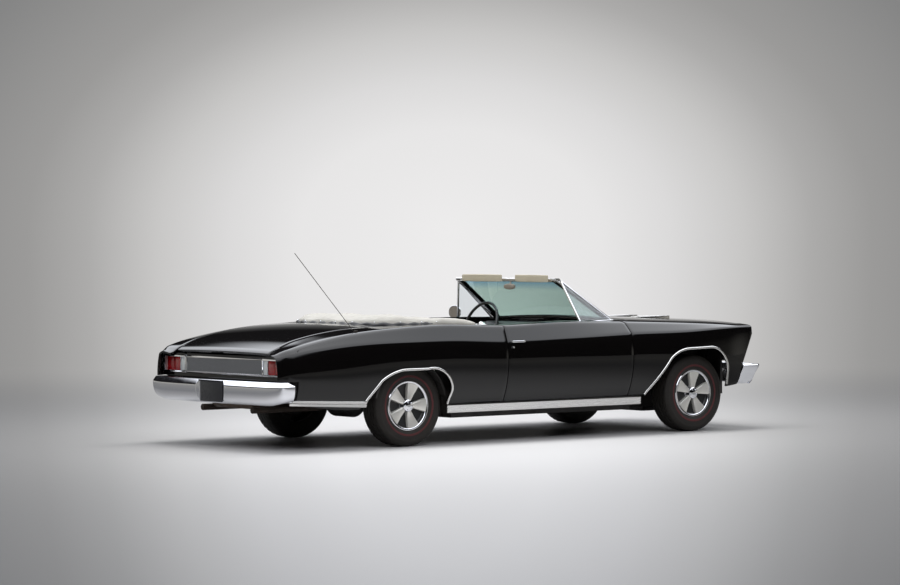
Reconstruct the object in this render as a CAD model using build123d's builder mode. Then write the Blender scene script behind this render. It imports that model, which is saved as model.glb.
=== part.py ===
from build123d import *

import math
import os

# A two-door convertible of the middle nineteen-sixties, with its top stowed.
# Millimetres. +X is the front, +Y the driver's left side, +Z up.
# The origin is on the ground, under the middle of the car.

# Whole car
length = 5004
width = 1905
wheelbase = 2921
front_overhang = 805
track = 1473
belt_height = 925
overrun = 60
fit_gap = 0.3
shut_gap = 7.2
skin = 14
half_length = length / 2
half_width = width / 2
half_track = track / 2
front_axle_x = half_length - front_overhang
rear_axle_x = front_axle_x - wheelbase

# Tyres and wheels
tyre_radius = 315
tyre_width = 200
bead_radius = 188
rim_width = 152
barrel_wall = 9
tyre_sides = 60
rim_sides = 40
cover_radius = 194
cover_ring = 26
cover_depth = 10
cover_bulge = 8
spoke_count = 5
spoke_root = 34
spoke_tip = 80
spoke_depth = 14
cap_radius = 46
cap_height = 16
spindle_radius = 30
spindle_length = 42
drum_radius = 124
drum_width = 64
web_thickness = 12
web_setback = 20

# Doors
door_front_setback = 753
door_front_x = front_axle_x - door_front_setback
door_rear_setback = 2034
door_rear_x = front_axle_x - door_rear_setback
door_depth = 182.5
door_inner_y = half_width - door_depth
door_bottom_z = 322
door_swing_back = 60
door_swing_in = 16
door_nose_in = 12
hinge_leaf = 8
hinge_eye = 7
hinge_pin = 3.5
hinge_reach = 66
hinge_pocket = 12
hinge_low_z = 566
hinge_high_z = 706
window_slot = 12
window_slot_depth = 60

# Hood, trunk lid and cowl
hood_rear_setback = 655
hood_rear_x = front_axle_x - hood_rear_setback
hood_front_setback = 250
hood_front_x = half_length - hood_front_setback
hood_bow = 42
panel_thickness = 22
hood_crown = 26
lid_front_setback = 244
lid_front_x = rear_axle_x - lid_front_setback
lid_rear_ahead = 118
lid_rear_x = lid_rear_ahead - half_length
lid_crown = 16
hinge_plate = 10
hinge_plate_drop = 70
hinge_plate_length = 46
hood_hinge_y = 640
lid_hinge_y = 540

# Tail
tail_ahead = 142
tail_x = tail_ahead - half_length
tail_wall = 26
tail_bottom_z = 534
tail_top_z = 712
lamp_inner_y = 526
lamp_inset = 114.5
lamp_outer_y = half_width - lamp_inset
lamp_bottom_z = 562
lamp_top_z = 698
lamp_depth = 12
insert_frame = 10

# Frame
rail_width = 76
rail_height = 96
rail_bottom_z = 196
rail_middle_inset = 312.5
rail_middle_y = half_width - rail_middle_inset
rail_front_inset = 318.5
rail_front_y = half_track - rail_front_inset
rail_rear_inset = 216.5
rail_rear_y = half_track - rail_rear_inset
rail_front_setback = 322
rail_front_end = half_length - rail_front_setback
rail_rear_ahead = 172
rail_rear_end = rail_rear_ahead - half_length
torque_box_setback = 607
torque_box_x = front_axle_x - torque_box_setback
torque_box = 80
kick_foot_ahead = 564
kick_foot_x = rear_axle_x + kick_foot_ahead
kick_top_ahead = 324
kick_top_x = rear_axle_x + kick_top_ahead
cross_drop = 30

# Floor and inner body
floor_wall = 18
rear_floor_inset = 126.5
rear_floor_half_width = half_track - rear_floor_inset
sill_inset = 90.5
sill_outer_y = half_width - sill_inset
sill_bottom_z = 248
sill_rear_ahead = 358
sill_rear_x = rear_axle_x + sill_rear_ahead
firewall_setback = 747
firewall_x = front_axle_x - firewall_setback
cowl_floor_z = 862
toe_board_z = 565
toe_board_run = 198
seat_riser_ahead = 664
seat_riser_x = rear_axle_x + seat_riser_ahead
rear_floor_z = 480
bulkhead_ahead = 214
bulkhead_x = rear_axle_x + bulkhead_ahead
well_rear_setback = 176
well_rear_x = rear_axle_x - well_rear_setback
well_floor_z = 690
pillar_depth = 56
pillar_inset = 107.5
pillar_outer_y = half_width - pillar_inset
trunk_wall = 16
tunnel_half_width = 168
tunnel_height = 160
house_clearance = 30
inner_wall_inset = 295.5
inner_wall_y = half_track - inner_wall_inset
support_setback = 397
support_x = half_length - support_setback
support_wall = 20
support_inset = 247.5
support_half = half_width - support_inset

floor_half_width = door_inner_y - shut_gap

# Body side sections, front to rear. Lengths are shares of the half length, widths of the
# half width and heights of the belt height. Columns: station, top edge y and z, belt y and z,
# crease y and z, widest y and z, foot y and z.
body_shares = [
    (0.914, 0.782, 0.944, 0.888, 0.934, 0.932, 0.922, 0.950, 0.700, 0.940, 0.430),
    (0.799, 0.782, 0.960, 0.884, 0.946, 0.953, 0.917, 0.978, 0.700, 0.962, 0.395),
    (0.619, 0.782, 0.979, 0.878, 0.966, 0.968, 0.897, 0.994, 0.690, 0.940, 0.356),
    (0.376, 0.782, 1.001, 0.870, 0.988, 0.966, 0.892, 0.997, 0.680, 0.911, 0.350),
    (0.120, 0.782, 1.010, 0.905, 1.004, 0.978, 0.866, 1.000, 0.680, 0.915, 0.350),
    (-0.134, 0.782, 0.992, 0.932, 0.986, 0.985, 0.842, 1.000, 0.670, 0.921, 0.350),
    (-0.360, 0.782, 1.010, 0.927, 1.005, 0.984, 0.868, 1.000, 0.680, 0.921, 0.345),
    (-0.560, 0.672, 0.998, 0.908, 0.984, 0.977, 0.873, 0.995, 0.690, 0.924, 0.335),
    (-0.719, 0.672, 0.968, 0.892, 0.944, 0.963, 0.862, 0.985, 0.700, 0.925, 0.330),
    (-0.859, 0.672, 0.900, 0.878, 0.880, 0.942, 0.826, 0.965, 0.700, 0.915, 0.362),
    (-0.939, 0.672, 0.820, 0.855, 0.828, 0.912, 0.790, 0.932, 0.690, 0.895, 0.400),
    (-0.975, 0.672, 0.770, 0.790, 0.788, 0.840, 0.765, 0.860, 0.690, 0.840, 0.420),
]

# Wheel arch outlines, seen from the side. Lengths are shares of the arch reach from the
# axle, heights of the arch top. Rows: back foot, back line's top, back shoulder,
# flat's back, flat's front, front shoulder, front round's foot, front foot.
arch_reach = 350
front_arch_top = 682
rear_arch_top = 590
moulding_width = 16
moulding_proud = 7
front_arch_shares = [
    (-1.86, 0.33), (-0.957, 0.891), (-0.72, 0.962), (-0.42, 0.993),
    (0.18, 1.0), (0.63, 0.93), (0.80, 0.73), (0.76, 0.33),
]
rear_arch_shares = [
    (-1.64, 0.38), (-0.93, 0.868), (-0.70, 0.945), (-0.35, 0.998),
    (0.29, 1.0), (0.83, 0.91), (0.994, 0.73), (0.85, 0.38),
]

# Share of the way down the body side's round part at which its flats meet
flat_shares = (0, 0.3, 0.6, 0.8, 1)

parts = []


def finish(piece, name):
    """Label a finished piece and keep it for writing."""
    piece.label = name
    parts.append(piece)


def body_row(x):
    """Body section sizes at x, on a smooth line through the table's stations."""
    rows = [(s * half_length,) + tuple(v) for s, *v in body_shares]
    for i in range(len(rows) - 1):
        if x >= rows[i + 1][0] or i == len(rows) - 2:
            break
    before = rows[max(i - 1, 0)]
    near, far = rows[i], rows[i + 1]
    after = rows[min(i + 2, len(rows) - 1)]
    step = far[0] - near[0]
    t = (x - near[0]) / step

    def slope(left, here, right, c):
        if (here[c] - left[c]) * (right[c] - here[c]) <= 0:
            return 0
        return (right[c] - left[c]) / (right[0] - left[0]) * step

    row = []
    for c in range(1, len(near)):
        slope_near = slope(before, near, far, c)
        slope_far = slope(near, far, after, c)
        value = ((2 * t ** 3 - 3 * t ** 2 + 1) * near[c] + (t ** 3 - 2 * t ** 2 + t) * slope_near
                 + (3 * t ** 2 - 2 * t ** 3) * far[c] + (t ** 3 - t ** 2) * slope_far)
        row.append(value)
    names = ("top_y", "top_z", "belt_y", "belt_z", "crease_y", "crease_z",
             "wide_y", "wide_z", "foot_y", "foot_z")
    sizes = {}
    for name, value in zip(names, row):
        sizes[name] = value * (half_width if name.endswith("_y") else belt_height)
    return sizes


def between(start, end, shares):
    """Places from start to end, at the given shares of the way."""
    return [start + share * (end - start) for share in shares]


def slab(x0, x1, y0, y1, z0, z1, mode=Mode.ADD):
    """Straight-sided piece between six faces."""
    with Locations(((x0 + x1) / 2, (y0 + y1) / 2, (z0 + z1) / 2)):
        Box(abs(x1 - x0), abs(y1 - y0), abs(z1 - z0), mode=mode)


def side_flats(s, side, shift, foot_z):
    """Points from the crease down to the foot, on an arc through the widest line."""
    crease = (side * (s["crease_y"] + shift), s["crease_z"] + shift / 2)
    wide = (side * (s["wide_y"] + shift), s["wide_z"])
    foot = (side * (s["foot_y"] + shift), foot_z)
    bow_line = ThreePointArc(crease, wide, foot, mode=Mode.PRIVATE)
    places = [bow_line @ share for share in flat_shares]
    return [(place.X, place.Y) for place in places]


def side_face(x, side, outer=0, wall=skin):
    """Closed section of a body side panel at x, on the left (1) or right (-1)."""
    s = body_row(x)

    def ring(shift):
        corners = [
            (side * s["top_y"], s["top_z"] + shift),
            (side * (s["belt_y"] + shift), s["belt_z"] + shift),
        ]
        return corners + side_flats(s, side, shift, s["foot_z"])

    with BuildSketch(Plane.YZ.offset(x)) as face:
        with BuildLine():
            Polyline(*ring(outer), *reversed(ring(outer - wall)), close=True)
        make_face()
    return face.sketch


def door_face(x, side, inner_y):
    """Closed section of a door at x: outer skin, flat inner face and flat bottom."""
    s = body_row(x)
    top = (side * inner_y, s["top_z"])
    belt = (side * s["belt_y"], s["belt_z"])
    flats = side_flats(s, side, 0, door_bottom_z)
    with BuildSketch(Plane.YZ.offset(x)) as face:
        with BuildLine():
            Polyline(top, belt, *flats, (side * inner_y, door_bottom_z), close=True)
        make_face()
    return face.sketch


def crowned_face(x, edge_y, crown, thickness, lift=0):
    """Closed section of a crowned top panel at x, from side to side."""
    edge_z = body_row(x)["top_z"] + lift
    with BuildSketch(Plane.YZ.offset(x)) as face:
        with BuildLine():
            ThreePointArc((-edge_y, edge_z), (0, edge_z + crown), (edge_y, edge_z))
            Line((edge_y, edge_z), (edge_y, edge_z - thickness))
            ThreePointArc(
                (edge_y, edge_z - thickness),
                (0, edge_z + crown - thickness),
                (-edge_y, edge_z - thickness),
            )
            Line((-edge_y, edge_z - thickness), (-edge_y, edge_z))
        make_face()
    return face.sketch


def arch_tool(axle_x, top, shares, grow=0):
    """Wheel arch outline pushed through both sides of the car."""
    p = [(axle_x + a * arch_reach, b * top) for a, b in shares]
    with BuildPart() as tool:
        with BuildSketch(Plane.XZ):
            with BuildLine():
                Line(p[0], p[1])
                ThreePointArc(p[1], p[2], p[3])
                Line(p[3], p[4])
                ThreePointArc(p[4], p[5], p[6])
                Line(p[6], p[7])
                Polyline(p[7], (p[7][0], -overrun), (p[0][0], -overrun), p[0])
            make_face()
            if grow:
                offset(amount=grow)
        extrude(amount=half_width + overrun, both=True)
    return tool.part


front_arch = arch_tool(front_axle_x, front_arch_top, front_arch_shares)
rear_arch = arch_tool(rear_axle_x, rear_arch_top, rear_arch_shares)

# Front fenders, from the nose to the door
fender_rear_x = door_front_x + shut_gap
nose_x = body_shares[0][0] * half_length
nose_lean = 130
nose_break_z = 790
nose_foot_z = 372
fender_foot_setback = 407
fender_foot_x = half_length - fender_foot_setback
with BuildPart() as front_fenders:
    for side in (1, -1):
        for x in between(fender_rear_x, nose_x, (0, 0.25, 0.5, 0.79, 1)):
            add(side_face(x, side))
        loft(ruled=True)
    with BuildSketch(Plane.XZ):
        with BuildLine():
            Polyline(
                (nose_x + overrun, nose_break_z),
                (nose_x, nose_break_z),
                (nose_x - nose_lean, tail_bottom_z),
                (fender_foot_x, nose_foot_z),
                (fender_foot_x, -overrun),
                (nose_x + overrun, -overrun),
                close=True,
            )
        make_face()
    extrude(amount=width, both=True, mode=Mode.SUBTRACT)
    add(front_arch, mode=Mode.SUBTRACT)
finish(front_fenders.part, "front_fenders")

# Rear quarters, from the door to the tips behind the tail
quarter_front_x = door_rear_x - shut_gap
quarter_rear_x = body_shares[-1][0] * half_length
with BuildPart() as rear_quarters:
    for side in (1, -1):
        for x in between(quarter_front_x, quarter_rear_x, (0, 0.26, 0.51, 0.70, 0.86, 0.93, 0.957, 1)):
            add(side_face(x, side))
        loft(ruled=True)
    slab(quarter_rear_x - overrun, tail_x + overrun, -width, width, 0, tail_bottom_z, Mode.SUBTRACT)
    add(rear_arch, mode=Mode.SUBTRACT)
finish(rear_quarters.part, "rear_quarters")

# Doors, each with two pins in pockets for the hinge leaves, and a slot for the window glass
hinge_x = door_front_x - door_swing_back
hinge_y = body_row(door_front_x)["wide_y"] - door_swing_in
doors = {}
for name, side in (("door_left", 1), ("door_right", -1)):
    with BuildPart() as door:
        for x in between(door_rear_x, door_front_x, (0, 0.26, 0.52, 0.76)):
            add(door_face(x, side, door_inner_y))
        add(door_face(door_front_x, side, door_inner_y + door_nose_in))
        loft(ruled=True)
        for z in (hinge_low_z, hinge_high_z):
            slab(
                hinge_x - hinge_pocket, door_front_x + overrun,
                side * (hinge_y + hinge_pocket), side * (hinge_y - hinge_reach - hinge_pocket),
                z - fit_gap, z + hinge_leaf + fit_gap, Mode.SUBTRACT,
            )
            with Locations((hinge_x, side * hinge_y, z + hinge_leaf / 2)):
                Cylinder(hinge_pin, 2 * hinge_leaf)
        slot_y = door_inner_y + 2 * window_slot
        slab(
            door_rear_x + overrun, door_front_x - 5 * overrun,
            side * slot_y, side * (slot_y + window_slot),
            belt_height - window_slot_depth, belt_height + overrun, Mode.SUBTRACT,
        )
    doors[side] = door.part
    finish(door.part, name)


def bowed_line(edge_x):
    """Plan line of the car's front, bowed forward at the middle."""
    return ThreePointArc(
        (edge_x, -hood_half_width), (edge_x + hood_bow, 0), (edge_x, hood_half_width)
    )


# Hood, crowned from side to side, with a bowed front edge and hinge plates below its rear
hood_half_width = body_row(front_axle_x)["top_y"] - shut_gap
hood_axis_z = body_row(hood_rear_x)["top_z"] + hood_crown
with BuildPart() as hood:
    for x in between(hood_rear_x, hood_front_x + hood_bow, (0, 0.5, 0.8, 1)):
        add(crowned_face(x, hood_half_width, hood_crown, panel_thickness))
    loft(ruled=True)
    with BuildSketch(Plane.XY):
        with BuildLine():
            front = bowed_line(hood_front_x)
            Polyline(
                front @ 1, (hood_front_x, width), (hood_front_x + width, width),
                (hood_front_x + width, -width), (hood_front_x, -width), front @ 0,
            )
        make_face()
    extrude(amount=2 * belt_height, mode=Mode.SUBTRACT)
    for side in (1, -1):
        slab(
            hood_rear_x, hood_rear_x + hinge_plate_length,
            side * hood_hinge_y, side * (hood_hinge_y + hinge_plate),
            hood_axis_z - hinge_plate_drop, hood_axis_z - panel_thickness,
        )
finish(hood.part, "hood")

# Trunk lid, crowned, falling to the tail, with hinge plates below its front
lid_half_width = 0.672 * half_width - shut_gap
lid_axis_z = body_row(lid_front_x)["top_z"] + lid_crown
with BuildPart() as trunk_lid:
    for x, share in zip(between(lid_front_x, lid_rear_x, (0, 0.36, 0.72, 1)), (1, 0.9, 0.7, 0.4)):
        add(crowned_face(x, lid_half_width, lid_crown * share, panel_thickness))
    loft(ruled=True)
    for side in (1, -1):
        slab(
            lid_front_x - hinge_plate_length, lid_front_x,
            side * lid_hinge_y, side * (lid_hinge_y + hinge_plate),
            lid_axis_z - hinge_plate_drop, lid_axis_z - panel_thickness,
        )
finish(trunk_lid.part, "trunk_lid")

# Cowl between the fenders, ahead of the windscreen
cowl_rear_setback = 835
cowl_rear_x = front_axle_x - cowl_rear_setback
with BuildPart() as cowl_panel:
    for x in (cowl_rear_x, hood_rear_x - shut_gap):
        add(crowned_face(x, hood_half_width + shut_gap - fit_gap, hood_crown, panel_thickness))
    loft(ruled=True)
    for side in (1, -1):
        slab(
            firewall_x, hood_rear_x + hinge_plate_length,
            side * (hood_hinge_y - fit_gap), side * (hood_hinge_y - fit_gap - hinge_plate),
            cowl_floor_z, hood_axis_z - 2 * panel_thickness - fit_gap,
        )
        slab(
            firewall_x, hood_rear_x - shut_gap,
            side * (hood_hinge_y - fit_gap), side * (hood_hinge_y - fit_gap - hinge_plate),
            cowl_floor_z, hood_axis_z - hood_crown,
        )
finish(cowl_panel.part, "cowl_panel")

# Deck filler between the top well and the trunk lid
filler_rear_x = lid_front_x + shut_gap
with BuildPart() as deck_filler:
    for x in (filler_rear_x, well_rear_x):
        add(crowned_face(x, lid_half_width + shut_gap - fit_gap, lid_crown, panel_thickness))
    loft()
finish(deck_filler.part, "deck_filler")

# Header panel over the grille
with BuildPart() as nose_panel:
    with BuildSketch(Plane.XY.offset(nose_break_z)):
        with BuildLine():
            back = bowed_line(hood_front_x + shut_gap)
            face = bowed_line(nose_x)
            Line(back @ 0, face @ 0)
            Line(back @ 1, face @ 1)
        make_face()
    extrude(amount=body_row(nose_x)["top_z"] - nose_break_z)
finish(nose_panel.part, "nose_panel")

# Tail panel between the quarters
with BuildPart() as tail_panel:
    s = body_row(tail_x)
    with BuildSketch(Plane.YZ.offset(tail_x)):
        with BuildLine():
            Polyline(
                (-lid_half_width, tail_top_z), (lid_half_width, tail_top_z),
                (s["belt_y"] - 2 * skin, tail_top_z), (s["foot_y"] - 2 * skin, tail_bottom_z),
                (2 * skin - s["foot_y"], tail_bottom_z), (2 * skin - s["belt_y"], tail_top_z),
                close=True,
            )
        make_face()
    extrude(amount=tail_wall)
finish(tail_panel.part, "tail_panel")

# Bumper shape: a bowed bar with rounded corners and ends that wrap onto the sides, on two irons
bumper_wall = 44
bumper_edge = 16
bumper_corner = 60
bumper_gap = 5
iron_half_width = 26
iron_height = 60
front_bumper_inset = 44.5
front_bumper_y = half_width - front_bumper_inset
front_bumper_bow = 122
front_bumper_top = 538
front_bumper_bottom = 373
front_bumper_wrap = 250
rear_bumper_inset = 50.5
rear_bumper_y = half_width - rear_bumper_inset
rear_bumper_bow = 46
rear_bumper_top = tail_bottom_z - 4
rear_bumper_bottom = 345
rear_bumper_wrap = 92
plate_half_width = 165
plate_height = 105
plate_recess = 22
plate_wall = 4


def bumper(end, half, bow, top, bottom, wrap, rail_end, rail_y, rail_low, rail_high):
    """Bumper bar for one end of the car, 1 for the front and -1 for the rear."""
    tip_x = end * half_length
    corner_x = tip_x - end * bow
    wrap_x = corner_x - end * wrap
    with BuildPart() as bar:
        with BuildSketch(Plane.XY.offset(bottom)):
            with BuildLine():
                outer = ThreePointArc((corner_x, -half), (tip_x, 0), (corner_x, half))
                Polyline(outer @ 1, (wrap_x, half), (wrap_x, half - bumper_wall))
                inner_y = half - bumper_wall
                inner = ThreePointArc(
                    (corner_x - end * bumper_wall, inner_y),
                    (tip_x - end * bumper_wall, 0),
                    (corner_x - end * bumper_wall, -inner_y),
                )
                Line((wrap_x, inner_y), inner @ 0)
                Polyline(inner @ 1, (wrap_x, -inner_y), (wrap_x, -half), outer @ 0)
            make_face()
        extrude(amount=top - bottom)
        corners = bar.edges().filter_by(Axis.Z).filter_by(
            lambda e: abs(e.center().X - corner_x) < fit_gap and abs(e.center().Y) > inner_y
        )
        fillet(corners, radius=bumper_corner)
        iron_x = tip_x - end * (bumper_wall / 2 + bow * (rail_y / half) ** 2)
        middle = (top + bottom) / 2
        for side in (1, -1):
            with BuildSketch(Plane.XZ.offset(-side * rail_y)):
                with BuildLine():
                    Polyline(
                        (rail_end, rail_low), (iron_x, middle - iron_height / 2),
                        (iron_x, middle + iron_height / 2), (rail_end, rail_high), close=True,
                    )
                make_face()
            extrude(amount=iron_half_width, both=True)
    return bar.part


# Frame: front, middle and rear rails joined by torque boxes and crossmembers
front_cross_half = 97
front_cross_drop = 46
front_cross_height = 80
engine_cross_y = 300
tower_half_length = 57
tower_top = 480
rail_top = rail_bottom_z + rail_height
rear_rail_bottom = rear_floor_z - rail_height
rear_cross_setback = 402
rear_cross_x = rear_axle_x - rear_cross_setback
rail_half = rail_width / 2
with BuildPart() as chassis_frame:
    for side in (1, -1):
        slab(torque_box_x - torque_box / 2, rail_front_end, side * rail_front_y - rail_half,
             side * rail_front_y + rail_half, rail_bottom_z, rail_top)
        slab(kick_foot_x - torque_box / 2, torque_box_x + torque_box / 2,
             side * rail_middle_y - rail_half, side * rail_middle_y + rail_half,
             rail_bottom_z, rail_top)
        slab(torque_box_x - torque_box / 2, torque_box_x + torque_box / 2,
             side * rail_front_y, side * rail_middle_y, rail_bottom_z, rail_top)
        slab(kick_foot_x - torque_box / 2, kick_foot_x + torque_box / 2,
             side * rail_rear_y, side * rail_middle_y, rail_bottom_z, rail_top)
        with BuildSketch(Plane.XZ.offset(-side * rail_rear_y)):
            with BuildLine():
                Polyline(
                    (kick_foot_x + torque_box / 2, rail_bottom_z),
                    (kick_foot_x - torque_box / 2, rail_bottom_z),
                    (kick_top_x, rear_rail_bottom),
                    (rail_rear_end, rear_rail_bottom),
                    (rail_rear_end, rear_floor_z),
                    (kick_top_x + torque_box / 2, rear_floor_z),
                    (kick_foot_x, rail_top),
                    (kick_foot_x + torque_box / 2, rail_top),
                    close=True,
                )
            make_face()
        extrude(amount=rail_half, both=True)
        slab(front_axle_x - tower_half_length, front_axle_x + tower_half_length,
             side * (rail_front_y - rail_half), side * (inner_wall_y - fit_gap), rail_top, tower_top)
    slab(front_axle_x - front_cross_half, front_axle_x + front_cross_half,
         -engine_cross_y, engine_cross_y, rail_bottom_z - front_cross_drop,
         rail_bottom_z - front_cross_drop + front_cross_height)
    slab(front_axle_x - front_cross_half, front_axle_x + front_cross_half,
         -rail_front_y, rail_front_y, rail_bottom_z, rail_bottom_z - front_cross_drop + front_cross_height)
    slab(0, torque_box, -rail_middle_y, rail_middle_y, rail_bottom_z, rail_bottom_z + cross_drop)
    slab(kick_foot_x - torque_box / 2, kick_foot_x + torque_box / 2, -rail_rear_y, rail_rear_y,
         rail_bottom_z, rail_bottom_z + cross_drop)
    slab(rear_cross_x - torque_box, rear_cross_x, -rail_rear_y, rail_rear_y, rear_rail_bottom,
         rear_floor_z)
finish(chassis_frame.part, "chassis_frame")

# Floor tub: firewall, toe board, floor with tunnel, rear floor, sills, pillars and bulkheads
floor_z = rail_top
inner_side_top = 880
side_trim_inset = 262.5
side_trim_y = half_width - side_trim_inset
house_outer = tyre_radius + house_clearance
house_inner_wall = 16


def floor_profile(rear_x):
    """Side profile of the floor pressing, back to the given place."""
    with BuildLine(Plane.XZ) as line:
        Polyline(
            (firewall_x, cowl_floor_z), (firewall_x, toe_board_z),
            (firewall_x - toe_board_run, floor_z + floor_wall),
            (seat_riser_x, floor_z + floor_wall),
            (seat_riser_x, rear_floor_z + floor_wall), (rear_x, rear_floor_z + floor_wall),
            (rear_x, rear_floor_z), (seat_riser_x - floor_wall, rear_floor_z),
            (seat_riser_x - floor_wall, floor_z),
            (firewall_x - toe_board_run + floor_wall / 2, floor_z),
            (firewall_x + floor_wall, toe_board_z), (firewall_x + floor_wall, cowl_floor_z),
            close=True,
        )
    return line.line


with BuildPart() as floor_tub:
    with BuildSketch(Plane.XZ):
        with BuildLine():
            add(floor_profile(tail_x + tail_wall + trunk_wall))
        make_face()
    extrude(amount=rear_floor_half_width, both=True)
    with BuildSketch(Plane.XZ):
        with BuildLine():
            add(floor_profile(sill_rear_x))
        make_face()
    extrude(amount=floor_half_width, both=True)
    slab(seat_riser_x - floor_wall, firewall_x + floor_wall, -tunnel_half_width, tunnel_half_width,
         floor_z, floor_z + tunnel_height)
    slab(seat_riser_x - 2 * floor_wall, firewall_x + 2 * floor_wall,
         floor_wall - tunnel_half_width, tunnel_half_width - floor_wall,
         floor_z - floor_wall, floor_z + tunnel_height - floor_wall, Mode.SUBTRACT)
    slab(bulkhead_x - floor_wall, bulkhead_x, -rear_floor_half_width, rear_floor_half_width,
         rear_floor_z, inner_side_top)
    slab(well_rear_x, bulkhead_x, -rear_floor_half_width, rear_floor_half_width,
         well_floor_z, well_floor_z + floor_wall)
    slab(well_rear_x, well_rear_x + floor_wall, -rear_floor_half_width, rear_floor_half_width,
         rear_floor_z, belt_height - 3 * panel_thickness)
    for side in (1, -1):
        slab(sill_rear_x, torque_box_x, side * floor_half_width, side * sill_outer_y,
             sill_bottom_z, door_bottom_z - shut_gap)
        slab(fender_rear_x, fender_rear_x + pillar_depth, side * floor_half_width,
             side * pillar_outer_y, sill_bottom_z, cowl_floor_z)
        slab(quarter_front_x - pillar_depth, quarter_front_x, side * floor_half_width,
             side * pillar_outer_y, sill_bottom_z, cowl_floor_z)
        slab(sill_rear_x, quarter_front_x, side * side_trim_y,
             side * (floor_half_width + house_inner_wall), floor_z, inner_side_top)
        for z in (hinge_low_z, hinge_high_z):
            slab(hinge_x - hinge_eye, hinge_x + hinge_eye, side * hinge_y,
                 side * (hinge_y - hinge_reach), z, z + hinge_leaf)
            with Locations((hinge_x, side * hinge_y, z + hinge_leaf / 2)):
                Cylinder(hinge_eye, hinge_leaf)
                Cylinder(hinge_pin + fit_gap, 2 * hinge_leaf, mode=Mode.SUBTRACT)
            slab(hinge_x - hinge_eye, fender_rear_x + pillar_depth / 2,
                 side * (hinge_y - hinge_reach), side * (hinge_y - hinge_reach + 2 * hinge_eye),
                 z, z + hinge_leaf)
            slab(fender_rear_x, fender_rear_x + pillar_depth, side * floor_half_width,
                 side * (hinge_y - hinge_reach + 2 * hinge_eye), z, z + hinge_leaf)
        with BuildSketch(Plane.XZ.offset(-side * rear_floor_half_width)):
            with Locations((rear_axle_x, tyre_radius)):
                Circle(house_outer)
        extrude(amount=-side * house_inner_wall)
        with BuildSketch(Plane.XZ.offset(-side * rear_floor_half_width)):
            with Locations((rear_axle_x, tyre_radius)):
                Circle(house_outer)
                Circle(house_outer - house_inner_wall, mode=Mode.SUBTRACT)
        extrude(amount=-side * (sill_outer_y - rear_floor_half_width))
        slab(rear_axle_x - house_outer - fit_gap, rear_axle_x + house_outer + fit_gap,
             side * rear_floor_half_width, side * half_width, -overrun, rear_rail_bottom,
             Mode.SUBTRACT)
finish(floor_tub.part, "floor_tub")

# Trunk tub: side walls and rear wall below the lid, standing on the rear floor
tub_half = rear_floor_half_width
tub_floor = rear_floor_z + floor_wall
tub_front_x = well_rear_x - fit_gap
tub_rear_x = tail_x + tail_wall
tub_shares = [(0, 0.93), (0.43, 0.91), (0.81, 0.85)]
with BuildPart() as trunk_tub:
    for side in (1, -1):
        with BuildSketch(Plane.XZ.offset(-side * tub_half)):
            with BuildLine():
                tub_line = [
                    (tub_front_x + a * (tub_rear_x - tub_front_x), b * belt_height)
                    for a, b in tub_shares
                ]
                Polyline(
                    (tub_front_x, tub_floor), *tub_line,
                    (tub_rear_x, tail_top_z - panel_thickness), (tub_rear_x, tub_floor),
                    close=True,
                )
            make_face()
        extrude(amount=side * trunk_wall)
        slab(lid_front_x - hinge_plate_length, well_rear_x - fit_gap, side * (lid_hinge_y - fit_gap),
             side * (lid_hinge_y - fit_gap - hinge_plate), tub_floor,
             lid_axis_z - 2 * panel_thickness)
    slab(tail_x + tail_wall, tail_x + tail_wall + trunk_wall, trunk_wall - tub_half,
         tub_half - trunk_wall, tub_floor, tail_top_z - panel_thickness)
finish(trunk_tub.part, "trunk_tub")

# Inner fenders with wheelhouse caps, and the radiator support
cap_z = front_arch_top + skin / 2
inner_wall = 14
inner_fender_drop = 92
inner_fender_top = belt_height - inner_fender_drop
house_half = 380
window_half = 140
with BuildPart() as inner_fenders:
    for side in (1, -1):
        slab(firewall_x + floor_wall, support_x, side * inner_wall_y, side * (inner_wall_y + inner_wall),
             rail_top, inner_fender_top)
        slab(front_axle_x - window_half, front_axle_x + window_half, side * inner_wall_y,
             side * (inner_wall_y + inner_wall), rail_top, tower_top + 2 * inner_wall, Mode.SUBTRACT)
        slab(front_axle_x - house_half, front_axle_x + house_half, side * inner_wall_y,
             side * (body_row(front_axle_x)["crease_y"] - 2 * skin), cap_z, cap_z + inner_wall)
    slab(support_x, support_x + support_wall, -support_half, support_half, rail_top, nose_break_z)
finish(inner_fenders.part, "inner_fenders")

# Bumpers
front_plan = (1, front_bumper_y, front_bumper_bow, front_bumper_top, front_bumper_bottom,
              front_bumper_wrap, rail_front_end, rail_front_y, rail_bottom_z, rail_top)
rear_plan = (-1, rear_bumper_y, rear_bumper_bow, rear_bumper_top, rear_bumper_bottom,
             rear_bumper_wrap, rail_rear_end, rail_rear_y, rear_rail_bottom, rear_floor_z)
with BuildPart() as front_bumper:
    add(bumper(*front_plan))
    with BuildSketch(Plane.XZ):
        with BuildLine():
            Polyline(
                (nose_x - nose_lean + bumper_gap, tail_bottom_z + overrun),
                (nose_x - nose_lean + bumper_gap, tail_bottom_z),
                (fender_foot_x + bumper_gap, nose_foot_z),
                (fender_foot_x - overrun, nose_foot_z),
                (fender_foot_x - overrun, tail_bottom_z + overrun),
                close=True,
            )
        make_face()
    extrude(amount=width, both=True, mode=Mode.SUBTRACT)
finish(front_bumper.part, "front_bumper")
plate_z = rear_bumper_bottom + plate_height / 2 + plate_recess
with BuildPart() as rear_bumper:
    add(bumper(*rear_plan))
    slab(-half_length, plate_recess - half_length, -plate_half_width, plate_half_width,
         plate_z - plate_height / 2, plate_z + plate_height / 2, Mode.SUBTRACT)
finish(rear_bumper.part, "rear_bumper")
plate_inset = 3
with BuildPart() as rear_plate:
    slab(plate_recess - half_length - plate_wall, plate_recess - half_length,
         plate_inset - plate_half_width, plate_half_width - plate_inset,
         plate_z - plate_height / 2 + plate_inset, plate_z + plate_height / 2 - plate_inset)
finish(rear_plate.part, "rear_plate")


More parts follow.
